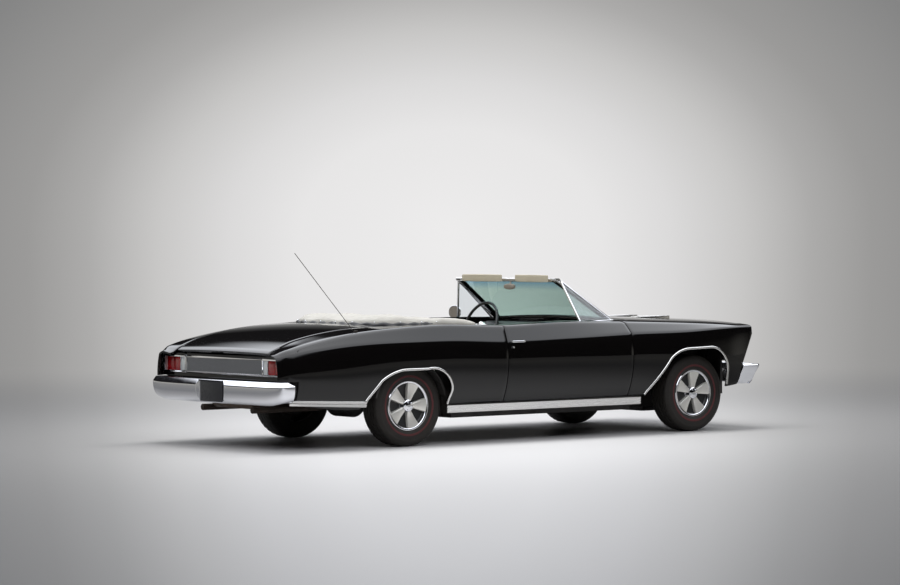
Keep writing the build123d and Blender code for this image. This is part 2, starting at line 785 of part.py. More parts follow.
# Wheels and tyres
def face_plane(axle_x, side, out):
    """Plane across a wheel's axis, a given way outboard of its middle."""
    return Plane(origin=(axle_x, side * (half_track + out), tyre_radius), x_dir=(1, 0, 0),
                 z_dir=(0, side, 0))


# Tyres: a many-sided crown, hollow for the wheel, with dished walls
half_tyre = tyre_width / 2
half_rim = rim_width / 2
tread_share = 0.78
shoulder_share = 0.97
shoulder_height_share = 0.945
wall_height_share = 0.84
dish_height_share = 0.74
tread_half = tread_share * half_tyre
shoulder_half = shoulder_share * half_tyre
shoulder_radius = shoulder_height_share * tyre_radius
wall_radius = wall_height_share * tyre_radius
dish_radius = dish_height_share * tyre_radius
corners = (("front_left", front_axle_x, 1), ("front_right", front_axle_x, -1),
           ("rear_left", rear_axle_x, 1), ("rear_right", rear_axle_x, -1))


def drum(axle_x, side, ends, sides, mode=Mode.ADD):
    """Many-sided drum on a wheel's axis, through rings given as (way out, radius)."""
    rings = []
    for out, radius in ends:
        with BuildSketch(face_plane(axle_x, side, out)) as ring:
            RegularPolygon(radius, sides)
        rings.append(ring.sketch)
    loft(rings, ruled=True, mode=mode)


for name, axle_x, side in corners:
    crown = [(tread_half, tyre_radius), (shoulder_half, shoulder_radius), (half_tyre, wall_radius)]
    with BuildPart() as tyre:
        drum(axle_x, side, [(-u, r) for u, r in reversed(crown)] + crown, tyre_sides)
        drum(axle_x, side, [(-half_tyre, bead_radius), (half_tyre, bead_radius)], tyre_sides,
             Mode.SUBTRACT)
        for way in (1, -1):
            dish = [(way * half_rim, bead_radius), (way * half_tyre, dish_radius)]
            drum(axle_x, side, dish, tyre_sides, Mode.SUBTRACT)
    finish(tyre.part, "tyre_" + name)

# Wheels: a barrel with a web, and a cover with a ring, five wedges and a cap
barrel_outer = bead_radius - 2 * fit_gap
barrel_inner = barrel_outer - barrel_wall
ring_inner = cover_radius - cover_ring
ring_back = half_rim + 2
ring_front = ring_back + cover_depth
hub_bore = spindle_radius + fit_gap
web_back = web_setback
web_front = web_back + web_thickness
hub_end = web_back + spindle_length
cap_front = ring_front + cap_height / 2
wedge_back = ring_front - cover_bulge - spoke_depth
for name, axle_x, side in corners:
    with BuildPart() as wheel:
        drum(axle_x, side, [(-half_rim, barrel_outer), (ring_back, barrel_outer)], rim_sides)
        drum(axle_x, side, [(ring_back, barrel_outer), (ring_front, cover_radius)], rim_sides)
        drum(axle_x, side, [(-half_rim, barrel_inner), (web_back, barrel_inner)], rim_sides,
             Mode.SUBTRACT)
        drum(axle_x, side, [(web_front, ring_inner), (ring_front, ring_inner)], rim_sides,
             Mode.SUBTRACT)
        drum(axle_x, side, [(web_back, cap_radius), (ring_front, cap_radius), (cap_front, cap_radius / 2)],
             rim_sides)
        with BuildSketch(face_plane(axle_x, side, web_back)):
            Circle(hub_bore)
        extrude(amount=spindle_length + fit_gap, mode=Mode.SUBTRACT)
        with BuildSketch(face_plane(axle_x, side, wedge_back)):
            reach_in = cap_radius - spoke_depth / 2
            reach_out = ring_inner + spoke_depth / 2
            for i in range(spoke_count):
                turn = math.radians(90 + 360 / spoke_count * i)
                ux, uy = math.cos(turn), math.sin(turn)
                with BuildLine():
                    Polyline(
                        (reach_in * ux - spoke_root / 2 * uy, reach_in * uy + spoke_root / 2 * ux),
                        (reach_out * ux - spoke_tip / 2 * uy, reach_out * uy + spoke_tip / 2 * ux),
                        (reach_out * ux + spoke_tip / 2 * uy, reach_out * uy - spoke_tip / 2 * ux),
                        (reach_in * ux + spoke_root / 2 * uy, reach_in * uy - spoke_root / 2 * ux),
                        close=True,
                    )
                make_face()
        extrude(amount=spoke_depth)
    finish(wheel.part, "wheel_" + name)

# Steering knuckles: upright, brake drum and spindle
pin_inset = 46.5
pin_y = half_track - pin_inset
post_radius = 22
post_half = 130
drum_face_out = web_back - fit_gap
drum_ends = [(drum_face_out - drum_width, drum_radius), (drum_face_out, drum_radius)]
for name, side in (("knuckle_left", 1), ("knuckle_right", -1)):
    with BuildPart() as knuckle:
        drum(front_axle_x, side, drum_ends, rim_sides)
        with BuildSketch(face_plane(front_axle_x, side, drum_face_out)):
            Circle(spindle_radius)
        extrude(amount=spindle_length)
        with BuildSketch(Plane.XY.offset(tyre_radius - post_half)):
            with Locations((front_axle_x, side * pin_y)):
                Circle(post_radius)
        extrude(amount=2 * post_half)
    finish(knuckle.part, name)

# Front suspension arms, held at the crossmember and the spring towers
arm_height = 24
arm_tip = 28
lower_arm_half = 80
upper_arm_half = 60
post_bottom = tyre_radius - post_half
post_top = tyre_radius + post_half
with BuildPart() as front_suspension:
    for side in (1, -1):
        for inner_y, half, z in (
            (engine_cross_y + fit_gap, lower_arm_half, post_bottom - fit_gap - arm_height),
            (inner_wall_y, upper_arm_half, post_top + fit_gap),
        ):
            with BuildSketch(Plane.XY.offset(z)):
                with BuildLine():
                    Polyline(
                        (front_axle_x - half, side * inner_y), (front_axle_x + half, side * inner_y),
                        (front_axle_x + arm_tip, side * pin_y), (front_axle_x - arm_tip, side * pin_y),
                        close=True,
                    )
                make_face()
                with Locations((front_axle_x, side * pin_y)):
                    Circle(arm_tip)
            extrude(amount=arm_height)
finish(front_suspension.part, "front_suspension")

# Rear axle with drums, spindles, springs and trailing arms, and the driveshaft
tube_radius = 38
diff_radius = 118
diff_half = 110
link_y = 588
link_half = 18
link_drop = 70
spring_radius = 52
shaft_radius = 36
engine_rear_setback = 997
engine_rear_x = front_axle_x - engine_rear_setback
with BuildPart() as rear_axle:
    with BuildSketch(Plane.XZ):
        with Locations((rear_axle_x, tyre_radius)):
            Circle(tube_radius)
    extrude(amount=half_track, both=True)
    with BuildSketch(Plane.XZ):
        with Locations((rear_axle_x, tyre_radius)):
            Circle(diff_radius)
    extrude(amount=diff_half, both=True)
    for side in (1, -1):
        drum(rear_axle_x, side, drum_ends, rim_sides)
        with BuildSketch(face_plane(rear_axle_x, side, drum_face_out)):
            Circle(spindle_radius)
        extrude(amount=spindle_length)
        slab(rear_axle_x - tube_radius, kick_foot_x - torque_box / 2 - fit_gap,
             side * link_y - link_half, side * link_y + link_half,
             tyre_radius - link_drop, tyre_radius - tube_radius + link_half / 2)
        with BuildSketch(Plane.XY.offset(tyre_radius)):
            with Locations((rear_axle_x, side * rail_rear_y)):
                Circle(spring_radius)
        extrude(amount=rear_rail_bottom - fit_gap - tyre_radius)
    with BuildSketch(Plane.YZ.offset(rear_axle_x)):
        with Locations((0, tyre_radius)):
            Circle(shaft_radius)
    extrude(amount=engine_rear_x - fit_gap - rear_axle_x)
finish(rear_axle.part, "rear_axle")

# Engine and gearbox as one plain block, on pads on the front crossmember
engine_front_ahead = 263
engine_front_x = front_axle_x + engine_front_ahead
engine_back_setback = 467
engine_back_x = front_axle_x - engine_back_setback
engine_half = 285
engine_bottom = 250
engine_top = 790
gearbox_half = 110
gearbox_top = 420
pad = 60
cross_top = rail_bottom_z - front_cross_drop + front_cross_height
with BuildPart() as engine:
    slab(engine_back_x, engine_front_x, -engine_half, engine_half, engine_bottom, engine_top)
    slab(engine_rear_x, engine_back_x, -gearbox_half, gearbox_half, engine_bottom, gearbox_top)
    for side in (1, -1):
        slab(front_axle_x - pad, front_axle_x + pad, side * pad * 3, side * pad * 4,
             cross_top + fit_gap, engine_bottom)
finish(engine.part, "engine")

# Fuel tank under the trunk floor, and the exhaust with a flat silencer each side
tank_front_ahead = 602
tank_front_x = tank_front_ahead - half_length
tank_rear_ahead = 202
tank_rear_x = tank_rear_ahead - half_length
tank_half = 270
tank_bottom = 300
pipe_radius = 25
pipe_sides = 8
pipe_y = 340
pipe_z = 259
silencer_half = 100
silencer_height = 2 * (floor_z - pipe_z)
axle_arch_rise = 105
with BuildPart() as fuel_tank:
    slab(tank_rear_x, tank_front_x, -tank_half, tank_half, tank_bottom, rear_floor_z)
    fillet(fuel_tank.edges().filter_by(Axis.Y).group_by(Axis.Z)[0], radius=overrun)
finish(fuel_tank.part, "fuel_tank")
with BuildPart() as exhaust:
    for side in (1, -1):
        with BuildLine() as run:
            FilletPolyline(
                (engine_back_x, side * (engine_half + pipe_radius * 2), engine_bottom + 2 * pipe_radius),
                (torque_box_x - 3 * torque_box, side * pipe_y * 0.8, pipe_z),
                (kick_top_x, side * pipe_y * 0.8, pipe_z),
                (rear_axle_x + 2 * torque_box, side * pipe_y, tyre_radius + axle_arch_rise),
                (rear_axle_x - 2 * torque_box, side * pipe_y, tyre_radius + axle_arch_rise),
                (rear_axle_x - 6 * torque_box, side * pipe_y, tank_bottom),
                (tank_rear_x - torque_box / 2, side * pipe_y, tank_bottom),
                radius=torque_box,
            )
        with BuildSketch(Plane(origin=run.line @ 0, z_dir=run.line % 0)):
            RegularPolygon(pipe_radius, pipe_sides)
        sweep(path=run.line)
        slab(-5 * torque_box, -torque_box, side * pipe_y * 0.8 - silencer_half,
             side * pipe_y * 0.8 + silencer_half, pipe_z - silencer_height / 2,
             pipe_z + silencer_height / 2)
finish(exhaust.part, "exhaust")

# Windscreen frame: pillars and header; the glass stands inside them
screen_foot_z = 916
header_z = 1236
header_height = 32
header_depth = 50
pillar_foot_setback = 804
pillar_foot_inset = 217.5
pillar_head_setback = 1295
pillar_head_inset = 316.5
pillar_foot = (front_axle_x - pillar_foot_setback, half_width - pillar_foot_inset)
pillar_head = (front_axle_x - pillar_head_setback, half_width - pillar_head_inset)
pillar_foot_size = (46, 34)
pillar_head_size = (60, 30)
glass_wall = 7
glass_foot_bow = 112
header_bow = 62


def bow(x, half, rise, back=False):
    """Plan arc across the car, bowed forward by the rise."""
    if back:
        return ThreePointArc((x, half), (x + rise, 0), (x, -half))
    return ThreePointArc((x, -half), (x + rise, 0), (x, half))


def bow_band(x, half, rise, depth, z):
    """Plan band between two bowed arcs, on its own level."""
    with BuildSketch(Plane.XY.offset(z)) as band:
        with BuildLine():
            face = bow(x, half, rise)
            back = bow(x - depth, half, rise)
            Line(face @ 0, back @ 0)
            Line(face @ 1, back @ 1)
        make_face()
    return band.sketch


with BuildPart() as cowl_tool:
    for x in (cowl_rear_x, hood_rear_x - shut_gap):
        add(crowned_face(x, hood_half_width + shut_gap, hood_crown, 4 * panel_thickness))
    loft(ruled=True)
with BuildPart() as windshield_frame:
    for side in (1, -1):
        for (x, y), (depth, breadth), z in (
            (pillar_foot, pillar_foot_size, screen_foot_z),
            (pillar_head, pillar_head_size, header_z + header_height / 2),
        ):
            with BuildSketch(Plane.XY.offset(z)):
                with Locations((x, side * y)):
                    Rectangle(depth, breadth)
        loft(ruled=True)
    header_x = pillar_head[0] + header_depth / 2
    header_half = pillar_head[1] + pillar_head_size[1] / 2
    add(bow_band(header_x, header_half, header_bow, header_depth, header_z))
    extrude(amount=header_height)
    add(cowl_tool.part, mode=Mode.SUBTRACT)
finish(windshield_frame.part, "windshield_frame")

with BuildPart() as windshield_glass:
    add(bow_band(pillar_foot[0] + glass_wall, pillar_foot[1], glass_foot_bow, glass_wall,
                 screen_foot_z))
    add(bow_band(pillar_head[0] + glass_wall, pillar_head[1], header_bow, glass_wall,
                 header_z + header_height / 2))
    loft(ruled=True)
    add(windshield_frame.part, mode=Mode.SUBTRACT)
    add(cowl_tool.part, mode=Mode.SUBTRACT)
finish(windshield_glass.part, "windshield_glass")

# Dashboard with the steering column
wheel_setback = 1267
wheel_x = front_axle_x - wheel_setback
wheel_y = 385
wheel_z = 870
wheel_tilt = 22
wheel_radius = 203
wheel_grip = 13
hub_radius = 40
hub_depth = 34
column_radius = 30
dash_inset = 214.5
dash_half = half_width - dash_inset
dash_depth = 250
dash_bottom_z = 690
dash_top_z = 896
dash_shares = [(0, 1), (0.72, 1), (0.96, 0.86), (1, 0.5), (0.9, 0), (0, 0)]
column_plane = Plane(
    origin=(wheel_x, wheel_y, wheel_z), x_dir=(0, 1, 0),
    z_dir=(-math.cos(math.radians(wheel_tilt)), 0, math.sin(math.radians(wheel_tilt))),
)
with BuildPart() as dash:
    with BuildSketch(Plane.XZ):
        with BuildLine():
            Polyline(*[
                (firewall_x - a * dash_depth, dash_bottom_z + b * (dash_top_z - dash_bottom_z))
                for a, b in dash_shares
            ], close=True)
        make_face()
    extrude(amount=dash_half, both=True)
    with BuildSketch(column_plane.offset(-hub_depth - fit_gap)):
        Circle(column_radius)
    extrude(amount=-(firewall_x - wheel_x - dash_depth))
finish(dash.part, "dash")

with BuildPart() as steering_wheel:
    with BuildSketch(column_plane.offset(-wheel_grip)):
        RegularPolygon(wheel_radius + wheel_grip, rim_sides)
        RegularPolygon(wheel_radius - wheel_grip, rim_sides, mode=Mode.SUBTRACT)
    extrude(amount=2 * wheel_grip)
    with BuildSketch(column_plane.offset(-hub_depth)):
        Circle(hub_radius)
    extrude(amount=hub_depth)
    with BuildSketch(column_plane.offset(-wheel_grip)):
        for turn in (0, 90, 180):
            with PolarLocations(wheel_radius / 2, 1, start_angle=turn):
                Rectangle(wheel_radius, 2 * wheel_grip)
    extrude(amount=wheel_grip)
finish(steering_wheel.part, "steering_wheel")

# Front bucket seats and rear bench: side profiles as shares of the seat length and height
seat_y = 430
seat_half = 254
seat_front_setback = 1407
seat_front_x = front_axle_x - seat_front_setback
seat_length = 660
seat_height = 590
seat_shares = [
    (0.12, 0), (0.72, 0), (0.78, 0.22), (1, 0.9), (0.97, 1), (0.9, 0.97), (0.62, 0.3),
    (0.1, 0.35), (0, 0.27),
]
cabin_floor = floor_z + floor_wall
with BuildPart() as front_seats:
    for side in (1, -1):
        with BuildSketch(Plane.XZ.offset(-side * seat_y)):
            with BuildLine():
                Polyline(*[
                    (seat_front_x - a * seat_length, cabin_floor + fit_gap + b * seat_height)
                    for a, b in seat_shares
                ], close=True)
            make_face()
        extrude(amount=seat_half, both=True)
finish(front_seats.part, "front_seats")

bench_half = 590
bench_front_ahead = 649
bench_front_x = rear_axle_x + bench_front_ahead
bench_length = 434
bench_height = 370
bench_shares = [(0.05, 0), (1, 0), (1, 0.98), (0.93, 1), (0.86, 0.96), (0.7, 0.34), (0.04, 0.38), (0, 0.3)]
with BuildPart() as rear_seat:
    with BuildSketch(Plane.XZ):
        with BuildLine():
            Polyline(*[
                (bench_front_x - a * bench_length, rear_floor_z + floor_wall + fit_gap + b * bench_height)
                for a, b in bench_shares
            ], close=True)
        make_face()
    extrude(amount=bench_half, both=True)
finish(rear_seat.part, "rear_seat")

# Stowed top under its cover, in the well behind the bench and along both sides
boot_top_z = 966
boot_front_ahead = 744
boot_front_x = rear_axle_x + boot_front_ahead
boot_round = 22
boot_shares = [
    (1, 0.83), (0.73, 0.92), (0.45, 0.985), (0, 1), (0, 0.885), (0.5, 0.87), (0.56, 0.8),
]
boot_inset = 214.5
boot_half = half_width - boot_inset
boot_length = boot_front_x - well_rear_x - fit_gap
with BuildPart() as top_boot:
    with BuildSketch(Plane.XY.offset(inner_side_top + fit_gap)):
        with BuildLine():
            right = [(boot_front_x - a * boot_length, -b * boot_half) for a, b in boot_shares]
            left = [(x, -y) for x, y in reversed(right)]
            Polyline(*right, *left, close=True)
        make_face()
    extrude(amount=boot_top_z - inner_side_top - fit_gap)
    fillet(top_boot.faces().sort_by(Axis.Z)[-1].edges(), radius=boot_round)
    slab(well_rear_x + floor_wall + fit_gap, bulkhead_x - floor_wall - fit_gap,
         trunk_wall - rear_floor_half_width, rear_floor_half_width - trunk_wall,
         well_floor_z + floor_wall + fit_gap, inner_side_top + fit_gap)
finish(top_boot.part, "top_boot")

# Sun visors and inside mirror at the header
visor_wall = 18
visor_half = 590
visor_drop = 6
visor_rise = 30
visor_gap = 60
mirror_half = 112
mirror_height = 48
mirror_drop = 74
mirror_wall = 16
with BuildPart() as header_trim:
    add(bow_band(header_x - header_depth - fit_gap, header_half, header_bow, visor_wall,
                 header_z - visor_drop))
    extrude(amount=header_height + visor_rise + visor_drop)
    for side in (1, -1):
        slab(0, header_x + overrun, side * visor_half, side * width, header_z - overrun,
             header_z + 2 * overrun, Mode.SUBTRACT)
    slab(0, header_x + overrun, -visor_gap, visor_gap, header_z - overrun, header_z + 2 * overrun,
         Mode.SUBTRACT)
    mirror_x = header_x - header_depth + header_bow
    slab(mirror_x - mirror_wall, mirror_x, -mirror_half, mirror_half,
         header_z - mirror_drop, header_z - mirror_drop + mirror_height)
    slab(mirror_x - mirror_wall, mirror_x, -mirror_wall / 2, mirror_wall / 2,
         header_z - mirror_drop, header_z - fit_gap)
    slab(mirror_x - mirror_wall, mirror_x + mirror_wall, -mirror_wall / 2, mirror_wall / 2,
         header_z - mirror_wall, header_z - fit_gap)
finish(header_trim.part, "header_trim")

# Grille: a leaning frame with level bars, and a lamp housing with two round lamps each side
grille_half = 560
grille_bottom_z = 566
grille_lean = nose_lean / (nose_break_z - tail_bottom_z)
grille_setback = 18
grille_frame = 18
grille_bar = 9
grille_bars = 9
grille_back = support_x + support_wall


def face_x(z):
    """Front of the grille and lamp housings at a height."""
    return nose_x - grille_setback - (nose_break_z - z) * grille_lean


def leaning_block(y0, y1, z0, z1, setback=0):
    """Block with an upright back on the radiator support and a leaning front."""
    with BuildSketch(Plane.XZ.offset(-y0)) as profile:
        with BuildLine():
            Polyline(
                (grille_back, z0), (face_x(z0) - setback, z0), (face_x(z1) - setback, z1),
                (grille_back, z1), close=True,
            )
        make_face()
    extrude(profile.sketch, amount=-(y1 - y0))


with BuildPart() as grille:
    leaning_block(-grille_half, grille_half, grille_bottom_z, nose_break_z)
    slab(grille_back - overrun, nose_x + overrun, grille_frame - grille_half,
         grille_half - grille_frame, grille_bottom_z + grille_frame, nose_break_z - grille_frame,
         Mode.SUBTRACT)
    pitch = (nose_break_z - grille_bottom_z - 2 * grille_frame) / (grille_bars + 1)
    for i in range(grille_bars):
        z = grille_bottom_z + grille_frame + (i + 1) * pitch
        leaning_block(-grille_half + grille_frame / 2, grille_half - grille_frame / 2,
                      z - grille_bar / 2, z + grille_bar / 2, grille_setback / 2)
finish(grille.part, "grille")

housing_inset = 90.5
housing_outer_y = half_width - housing_inset
lamp_radius = 73
lamp_z = 690
lamp_pitch = 150
lamp_edge = 70
lamp_places = (housing_outer_y - lamp_edge - lamp_pitch, housing_outer_y - lamp_edge)
lamp_dome = 26
with BuildPart() as lamp_housings:
    for side in (1, -1):
        y0, y1 = sorted((side * (grille_half + fit_gap), side * housing_outer_y))
        leaning_block(y0, y1, grille_bottom_z, nose_break_z)
        for y in lamp_places:
            with BuildSketch(Plane.YZ.offset(face_x(lamp_z) - 2 * lamp_dome)):
                with Locations((side * y, lamp_z)):
                    Circle(lamp_radius + fit_gap)
            extrude(amount=nose_lean + overrun, mode=Mode.SUBTRACT)
finish(lamp_housings.part, "lamp_housings")
with BuildPart() as headlamps:
    for side in (1, -1):
        for y in lamp_places:
            with BuildSketch(Plane.YZ.offset(face_x(lamp_z) - 2 * lamp_dome)):
                with Locations((side * y, lamp_z)):
                    Circle(lamp_radius)
            extrude(amount=2 * lamp_dome + lamp_dome)
finish(headlamps.part, "headlamps")

# Tail: ribbed insert in a bright frame, with a lamp at each end
insert_wall = 8
with BuildPart() as tail_insert:
    slab(tail_x - insert_wall, tail_x, -lamp_inner_y, lamp_inner_y, lamp_bottom_z, lamp_top_z)
    slab(tail_x - 2 * insert_wall, tail_x - insert_wall / 2, insert_frame - lamp_inner_y,
         lamp_inner_y - insert_frame, lamp_bottom_z + insert_frame, lamp_top_z - insert_frame,
         Mode.SUBTRACT)
finish(tail_insert.part, "tail_insert")
with BuildPart() as tail_lamps:
    for side in (1, -1):
        slab(tail_x - lamp_depth, tail_x, side * (lamp_inner_y + fit_gap),
             side * lamp_outer_y, lamp_bottom_z, lamp_top_z)
    fillet(tail_lamps.edges().filter_by(Axis.Z).group_by(Axis.X)[0], radius=lamp_depth / 2)
finish(tail_lamps.part, "tail_lamps")


def side_shell(side, start_x, end_x, steps, proud):
    """Thin shell over a body side, standing proud of its skin."""
    with BuildPart() as shell:
        for x in between(start_x, end_x, [i / steps for i in range(steps + 1)]):
            add(side_face(x, side, outer=proud, wall=proud + skin / 2))
        loft(ruled=True)
    return shell.part


# Bright mouldings: round the wheel arches, along the sills and behind the rear wheels
sill_moulding_low = 248
sill_moulding_middle = 278
sill_moulding_high = 308
moulding_groove = 4
rear_moulding_low = 318
rear_moulding_high = 366
rear_moulding_low_end = 352
rear_moulding_high_end = 394
rear_moulding_steps = 3
sill_moulding_setback = 619
sill_moulding_front = front_axle_x - sill_moulding_setback
sill_moulding_ahead = 348
sill_moulding_rear = rear_axle_x + sill_moulding_ahead
rear_moulding_ahead = 150
rear_moulding_end = rear_moulding_ahead - half_length
rear_moulding_setback = 440
rear_moulding_start = rear_axle_x - rear_moulding_setback
arches = (
    (front_axle_x, front_arch_top, front_arch_shares, fender_rear_x, nose_x - 2 * overrun, front_fenders),
    (rear_axle_x, rear_arch_top, rear_arch_shares, quarter_front_x - overrun, rear_moulding_end,
     rear_quarters),
)
with BuildPart() as side_mouldings:
    for axle_x, top, shares, start_x, end_x, panels in arches:
        for side in (1, -1):
            with BuildPart() as strip:
                add(side_shell(side, start_x, end_x, 6, moulding_proud))
                add(arch_tool(axle_x, top, shares, moulding_width), mode=Mode.INTERSECT)
                add(panels.part, mode=Mode.SUBTRACT)
                add(arch_tool(axle_x, top, shares), mode=Mode.SUBTRACT)
                slab(-length, length, -width, width, 0, sill_bottom_z, Mode.SUBTRACT)
            add(strip.part)
    for side in (1, -1):
        for low, high in ((sill_moulding_low, sill_moulding_middle), (sill_moulding_middle, sill_moulding_high)):
            slab(sill_moulding_rear, sill_moulding_front, side * sill_outer_y,
                 side * (sill_outer_y + moulding_proud), low + moulding_groove, high - moulding_groove)
        slab(sill_moulding_rear, sill_moulding_front, side * sill_outer_y,
             side * (sill_outer_y + moulding_proud / 2), sill_moulding_low, sill_moulding_high)
        with BuildPart() as strip:
            add(side_shell(side, rear_moulding_start, rear_moulding_end, rear_moulding_steps, moulding_proud))
            with BuildSketch(Plane.XZ):
                with BuildLine():
                    Polyline(
                        (rear_moulding_start, rear_moulding_low), (rear_moulding_end, rear_moulding_low_end),
                        (rear_moulding_end, rear_moulding_high_end), (rear_moulding_start, rear_moulding_high),
                        close=True,
                    )
                make_face()
            extrude(amount=width, both=True, mode=Mode.INTERSECT)
            add(rear_quarters.part, mode=Mode.SUBTRACT)
            add(arch_tool(rear_axle_x, rear_arch_top, rear_arch_shares, moulding_width + fit_gap),
                mode=Mode.SUBTRACT)
        add(strip.part)
finish(side_mouldings.part, "side_mouldings")

# Door trims: vent window frames, handles, and the mirror on the driver's door
vent_front_setback = 829
vent_front_inset = 176.5
vent_rear_setback = 1182
vent_rear_inset = 152.5
vent_head_setback = 1273
vent_head_inset = 284.5
vent_front_foot = (front_axle_x - vent_front_setback, half_width - vent_front_inset)
vent_rear_foot = (front_axle_x - vent_rear_setback, half_width - vent_rear_inset)
vent_head = (front_axle_x - vent_head_setback, half_width - vent_head_inset)
vent_bar = 12
vent_foot_z = 915
vent_head_z = 1246
handle_reach = 50
handle_x = door_rear_x + handle_reach
handle_z = 785
handle_length = 96
handle_height = 16
handle_proud = 16
mirror_setback = 1111
mirror_inset = 22.5
mirror_z = 968
mirror_place = (front_axle_x - mirror_setback, half_width - mirror_inset, mirror_z)
door_mirror_radius = 58
door_mirror_wall = 20
stem = 14


def bar_between(foot, foot_z, head, head_z, side, size):
    """Straight bar of square section from one level to another."""
    faces = []
    for (x, y), z in ((foot, foot_z), (head, head_z)):
        with BuildSketch(Plane.XY.offset(z)) as end:
            with Locations((x, side * y)):
                Rectangle(size, size)
        faces.append(end.sketch)
    loft(faces, ruled=True)


for name, side in (("left", 1), ("right", -1)):
    skin_y = body_row(handle_x)["crease_y"]
    with BuildPart() as door_trim:
        bar_between(vent_front_foot, vent_foot_z, vent_head, vent_head_z, side, vent_bar)
        bar_between(vent_rear_foot, vent_foot_z, vent_head, vent_head_z, side, vent_bar)
        slab(handle_x - handle_length / 5, handle_x + handle_length,
             side * (skin_y - skin), side * (skin_y + handle_proud),
             handle_z - handle_height / 2, handle_z + handle_height / 2)
        if side > 0:
            x, y, z = mirror_place
            with BuildSketch(Plane.YZ.offset(x - door_mirror_wall / 2)):
                with Locations((y, z)):
                    Circle(door_mirror_radius)
            extrude(amount=door_mirror_wall)
            slab(x - stem / 2, x + stem / 2, y - door_mirror_radius, y, vent_foot_z - 4 * skin, z)
        add(doors[side], mode=Mode.SUBTRACT)
    finish(door_trim.part, "door_trim_" + name)
    feet = [(x, side * y, vent_foot_z) for x, y in (vent_front_foot, vent_rear_foot)]
    corners = feet + [(vent_head[0], side * vent_head[1], vent_head_z)]
    with BuildPart() as vent_glass:
        extrude(Face(Wire.make_polygon(corners)), amount=vent_bar / 4, both=True)
        add(door_trim.part, mode=Mode.SUBTRACT)
        add(doors[side], mode=Mode.SUBTRACT)
    finish(vent_glass.part.solids().sort_by(SortBy.VOLUME)[-1], "vent_glass_" + name)

# Hood vents: two raised ribbed frames
vent_length = 330
vent_ahead = 73
vent_middle_x = front_axle_x + vent_ahead
vent_y = 205
vent_half = 62
vent_rise = 14
vent_frame = 10
vent_ribs = 10
with BuildPart() as hood_vents:
    base_z = body_row(vent_middle_x)["top_z"] + panel_thickness / 2
    top_z = body_row(vent_middle_x)["top_z"] + hood_crown + vent_rise
    for side in (1, -1):
        slab(vent_middle_x - vent_length / 2, vent_middle_x + vent_length / 2,
             side * vent_y - vent_half, side * vent_y + vent_half, base_z, top_z)
        pitch = (vent_length - vent_frame) / vent_ribs
        for i in range(vent_ribs):
            x = vent_middle_x - vent_length / 2 + vent_frame + i * pitch
            slab(x, x + pitch - vent_frame, side * vent_y - vent_half + vent_frame,
                 side * vent_y + vent_half - vent_frame, top_z - vent_rise / 2, top_z, Mode.SUBTRACT)
    add(hood.part, mode=Mode.SUBTRACT)
finish(hood_vents.part, "hood_vents")

# Radio antenna on the right rear quarter
antenna_setback = 476
antenna_inset = 152.5
antenna_foot_z = 872
antenna_lean = 560
antenna_rise = 618
antenna_foot = (rear_axle_x - antenna_setback, antenna_inset - half_width, antenna_foot_z)
antenna_head = (antenna_foot[0] - antenna_lean, antenna_foot[1], antenna_foot_z + antenna_rise)
antenna_radius = 2.5
antenna_base = 14
antenna_base_height = 30
with BuildPart() as antenna:
    with BuildSketch(Plane.XY.offset(antenna_foot[2])):
        with Locations(antenna_foot[:2]):
            Circle(antenna_base)
    extrude(amount=antenna_base_height)
    reach = Vector(*antenna_head) - Vector(*antenna_foot)
    with BuildSketch(Plane(origin=antenna_foot, z_dir=reach)):
        Circle(antenna_radius)
    extrude(amount=reach.length)
    add(rear_quarters.part, mode=Mode.SUBTRACT)
antenna_rod = antenna.part.solids().sort_by(Axis.Z)[-1]
finish(antenna_rod, "antenna")

os.makedirs("parts", exist_ok=True)
for piece in parts:
    export_step(piece, "parts/" + piece.label + ".step")
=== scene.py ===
import math

import bmesh
import bpy
from bpy.props import FloatProperty, FloatVectorProperty, IntProperty, PointerProperty
from mathutils import Matrix, Vector, noise


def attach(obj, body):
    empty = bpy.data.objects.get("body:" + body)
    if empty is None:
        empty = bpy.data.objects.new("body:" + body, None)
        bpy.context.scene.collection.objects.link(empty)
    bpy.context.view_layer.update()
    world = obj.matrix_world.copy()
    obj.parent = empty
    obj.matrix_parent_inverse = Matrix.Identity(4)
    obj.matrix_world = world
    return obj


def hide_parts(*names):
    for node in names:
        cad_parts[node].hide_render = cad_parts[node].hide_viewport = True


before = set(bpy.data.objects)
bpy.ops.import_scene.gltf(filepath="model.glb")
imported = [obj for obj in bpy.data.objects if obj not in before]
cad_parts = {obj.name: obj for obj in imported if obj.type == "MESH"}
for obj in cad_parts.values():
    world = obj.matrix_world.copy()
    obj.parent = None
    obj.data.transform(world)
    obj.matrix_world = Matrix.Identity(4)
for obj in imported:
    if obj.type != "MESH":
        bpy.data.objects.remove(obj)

bl_info = {
    "name": "Two-door convertible",
    "version": (1, 0, 0),
    "blender": (4, 5, 0),
    "location": "View3D > Sidebar > Convertible",
    "description": "Dresses the car's frame with its paint, bright work, wheels and trim",
    "category": "Object",
}

# Whole car, in metres. +X is the front, +Y the driver's left side, +Z up.
HALF_LENGTH = 2.502
HALF_WIDTH = 0.9525
BELT = 0.925
FRONT_AXLE = 1.697
REAR_AXLE = -1.224
HALF_TRACK = 0.7365
TYRE_RADIUS = 0.315
SHUT_GAP = 0.0072

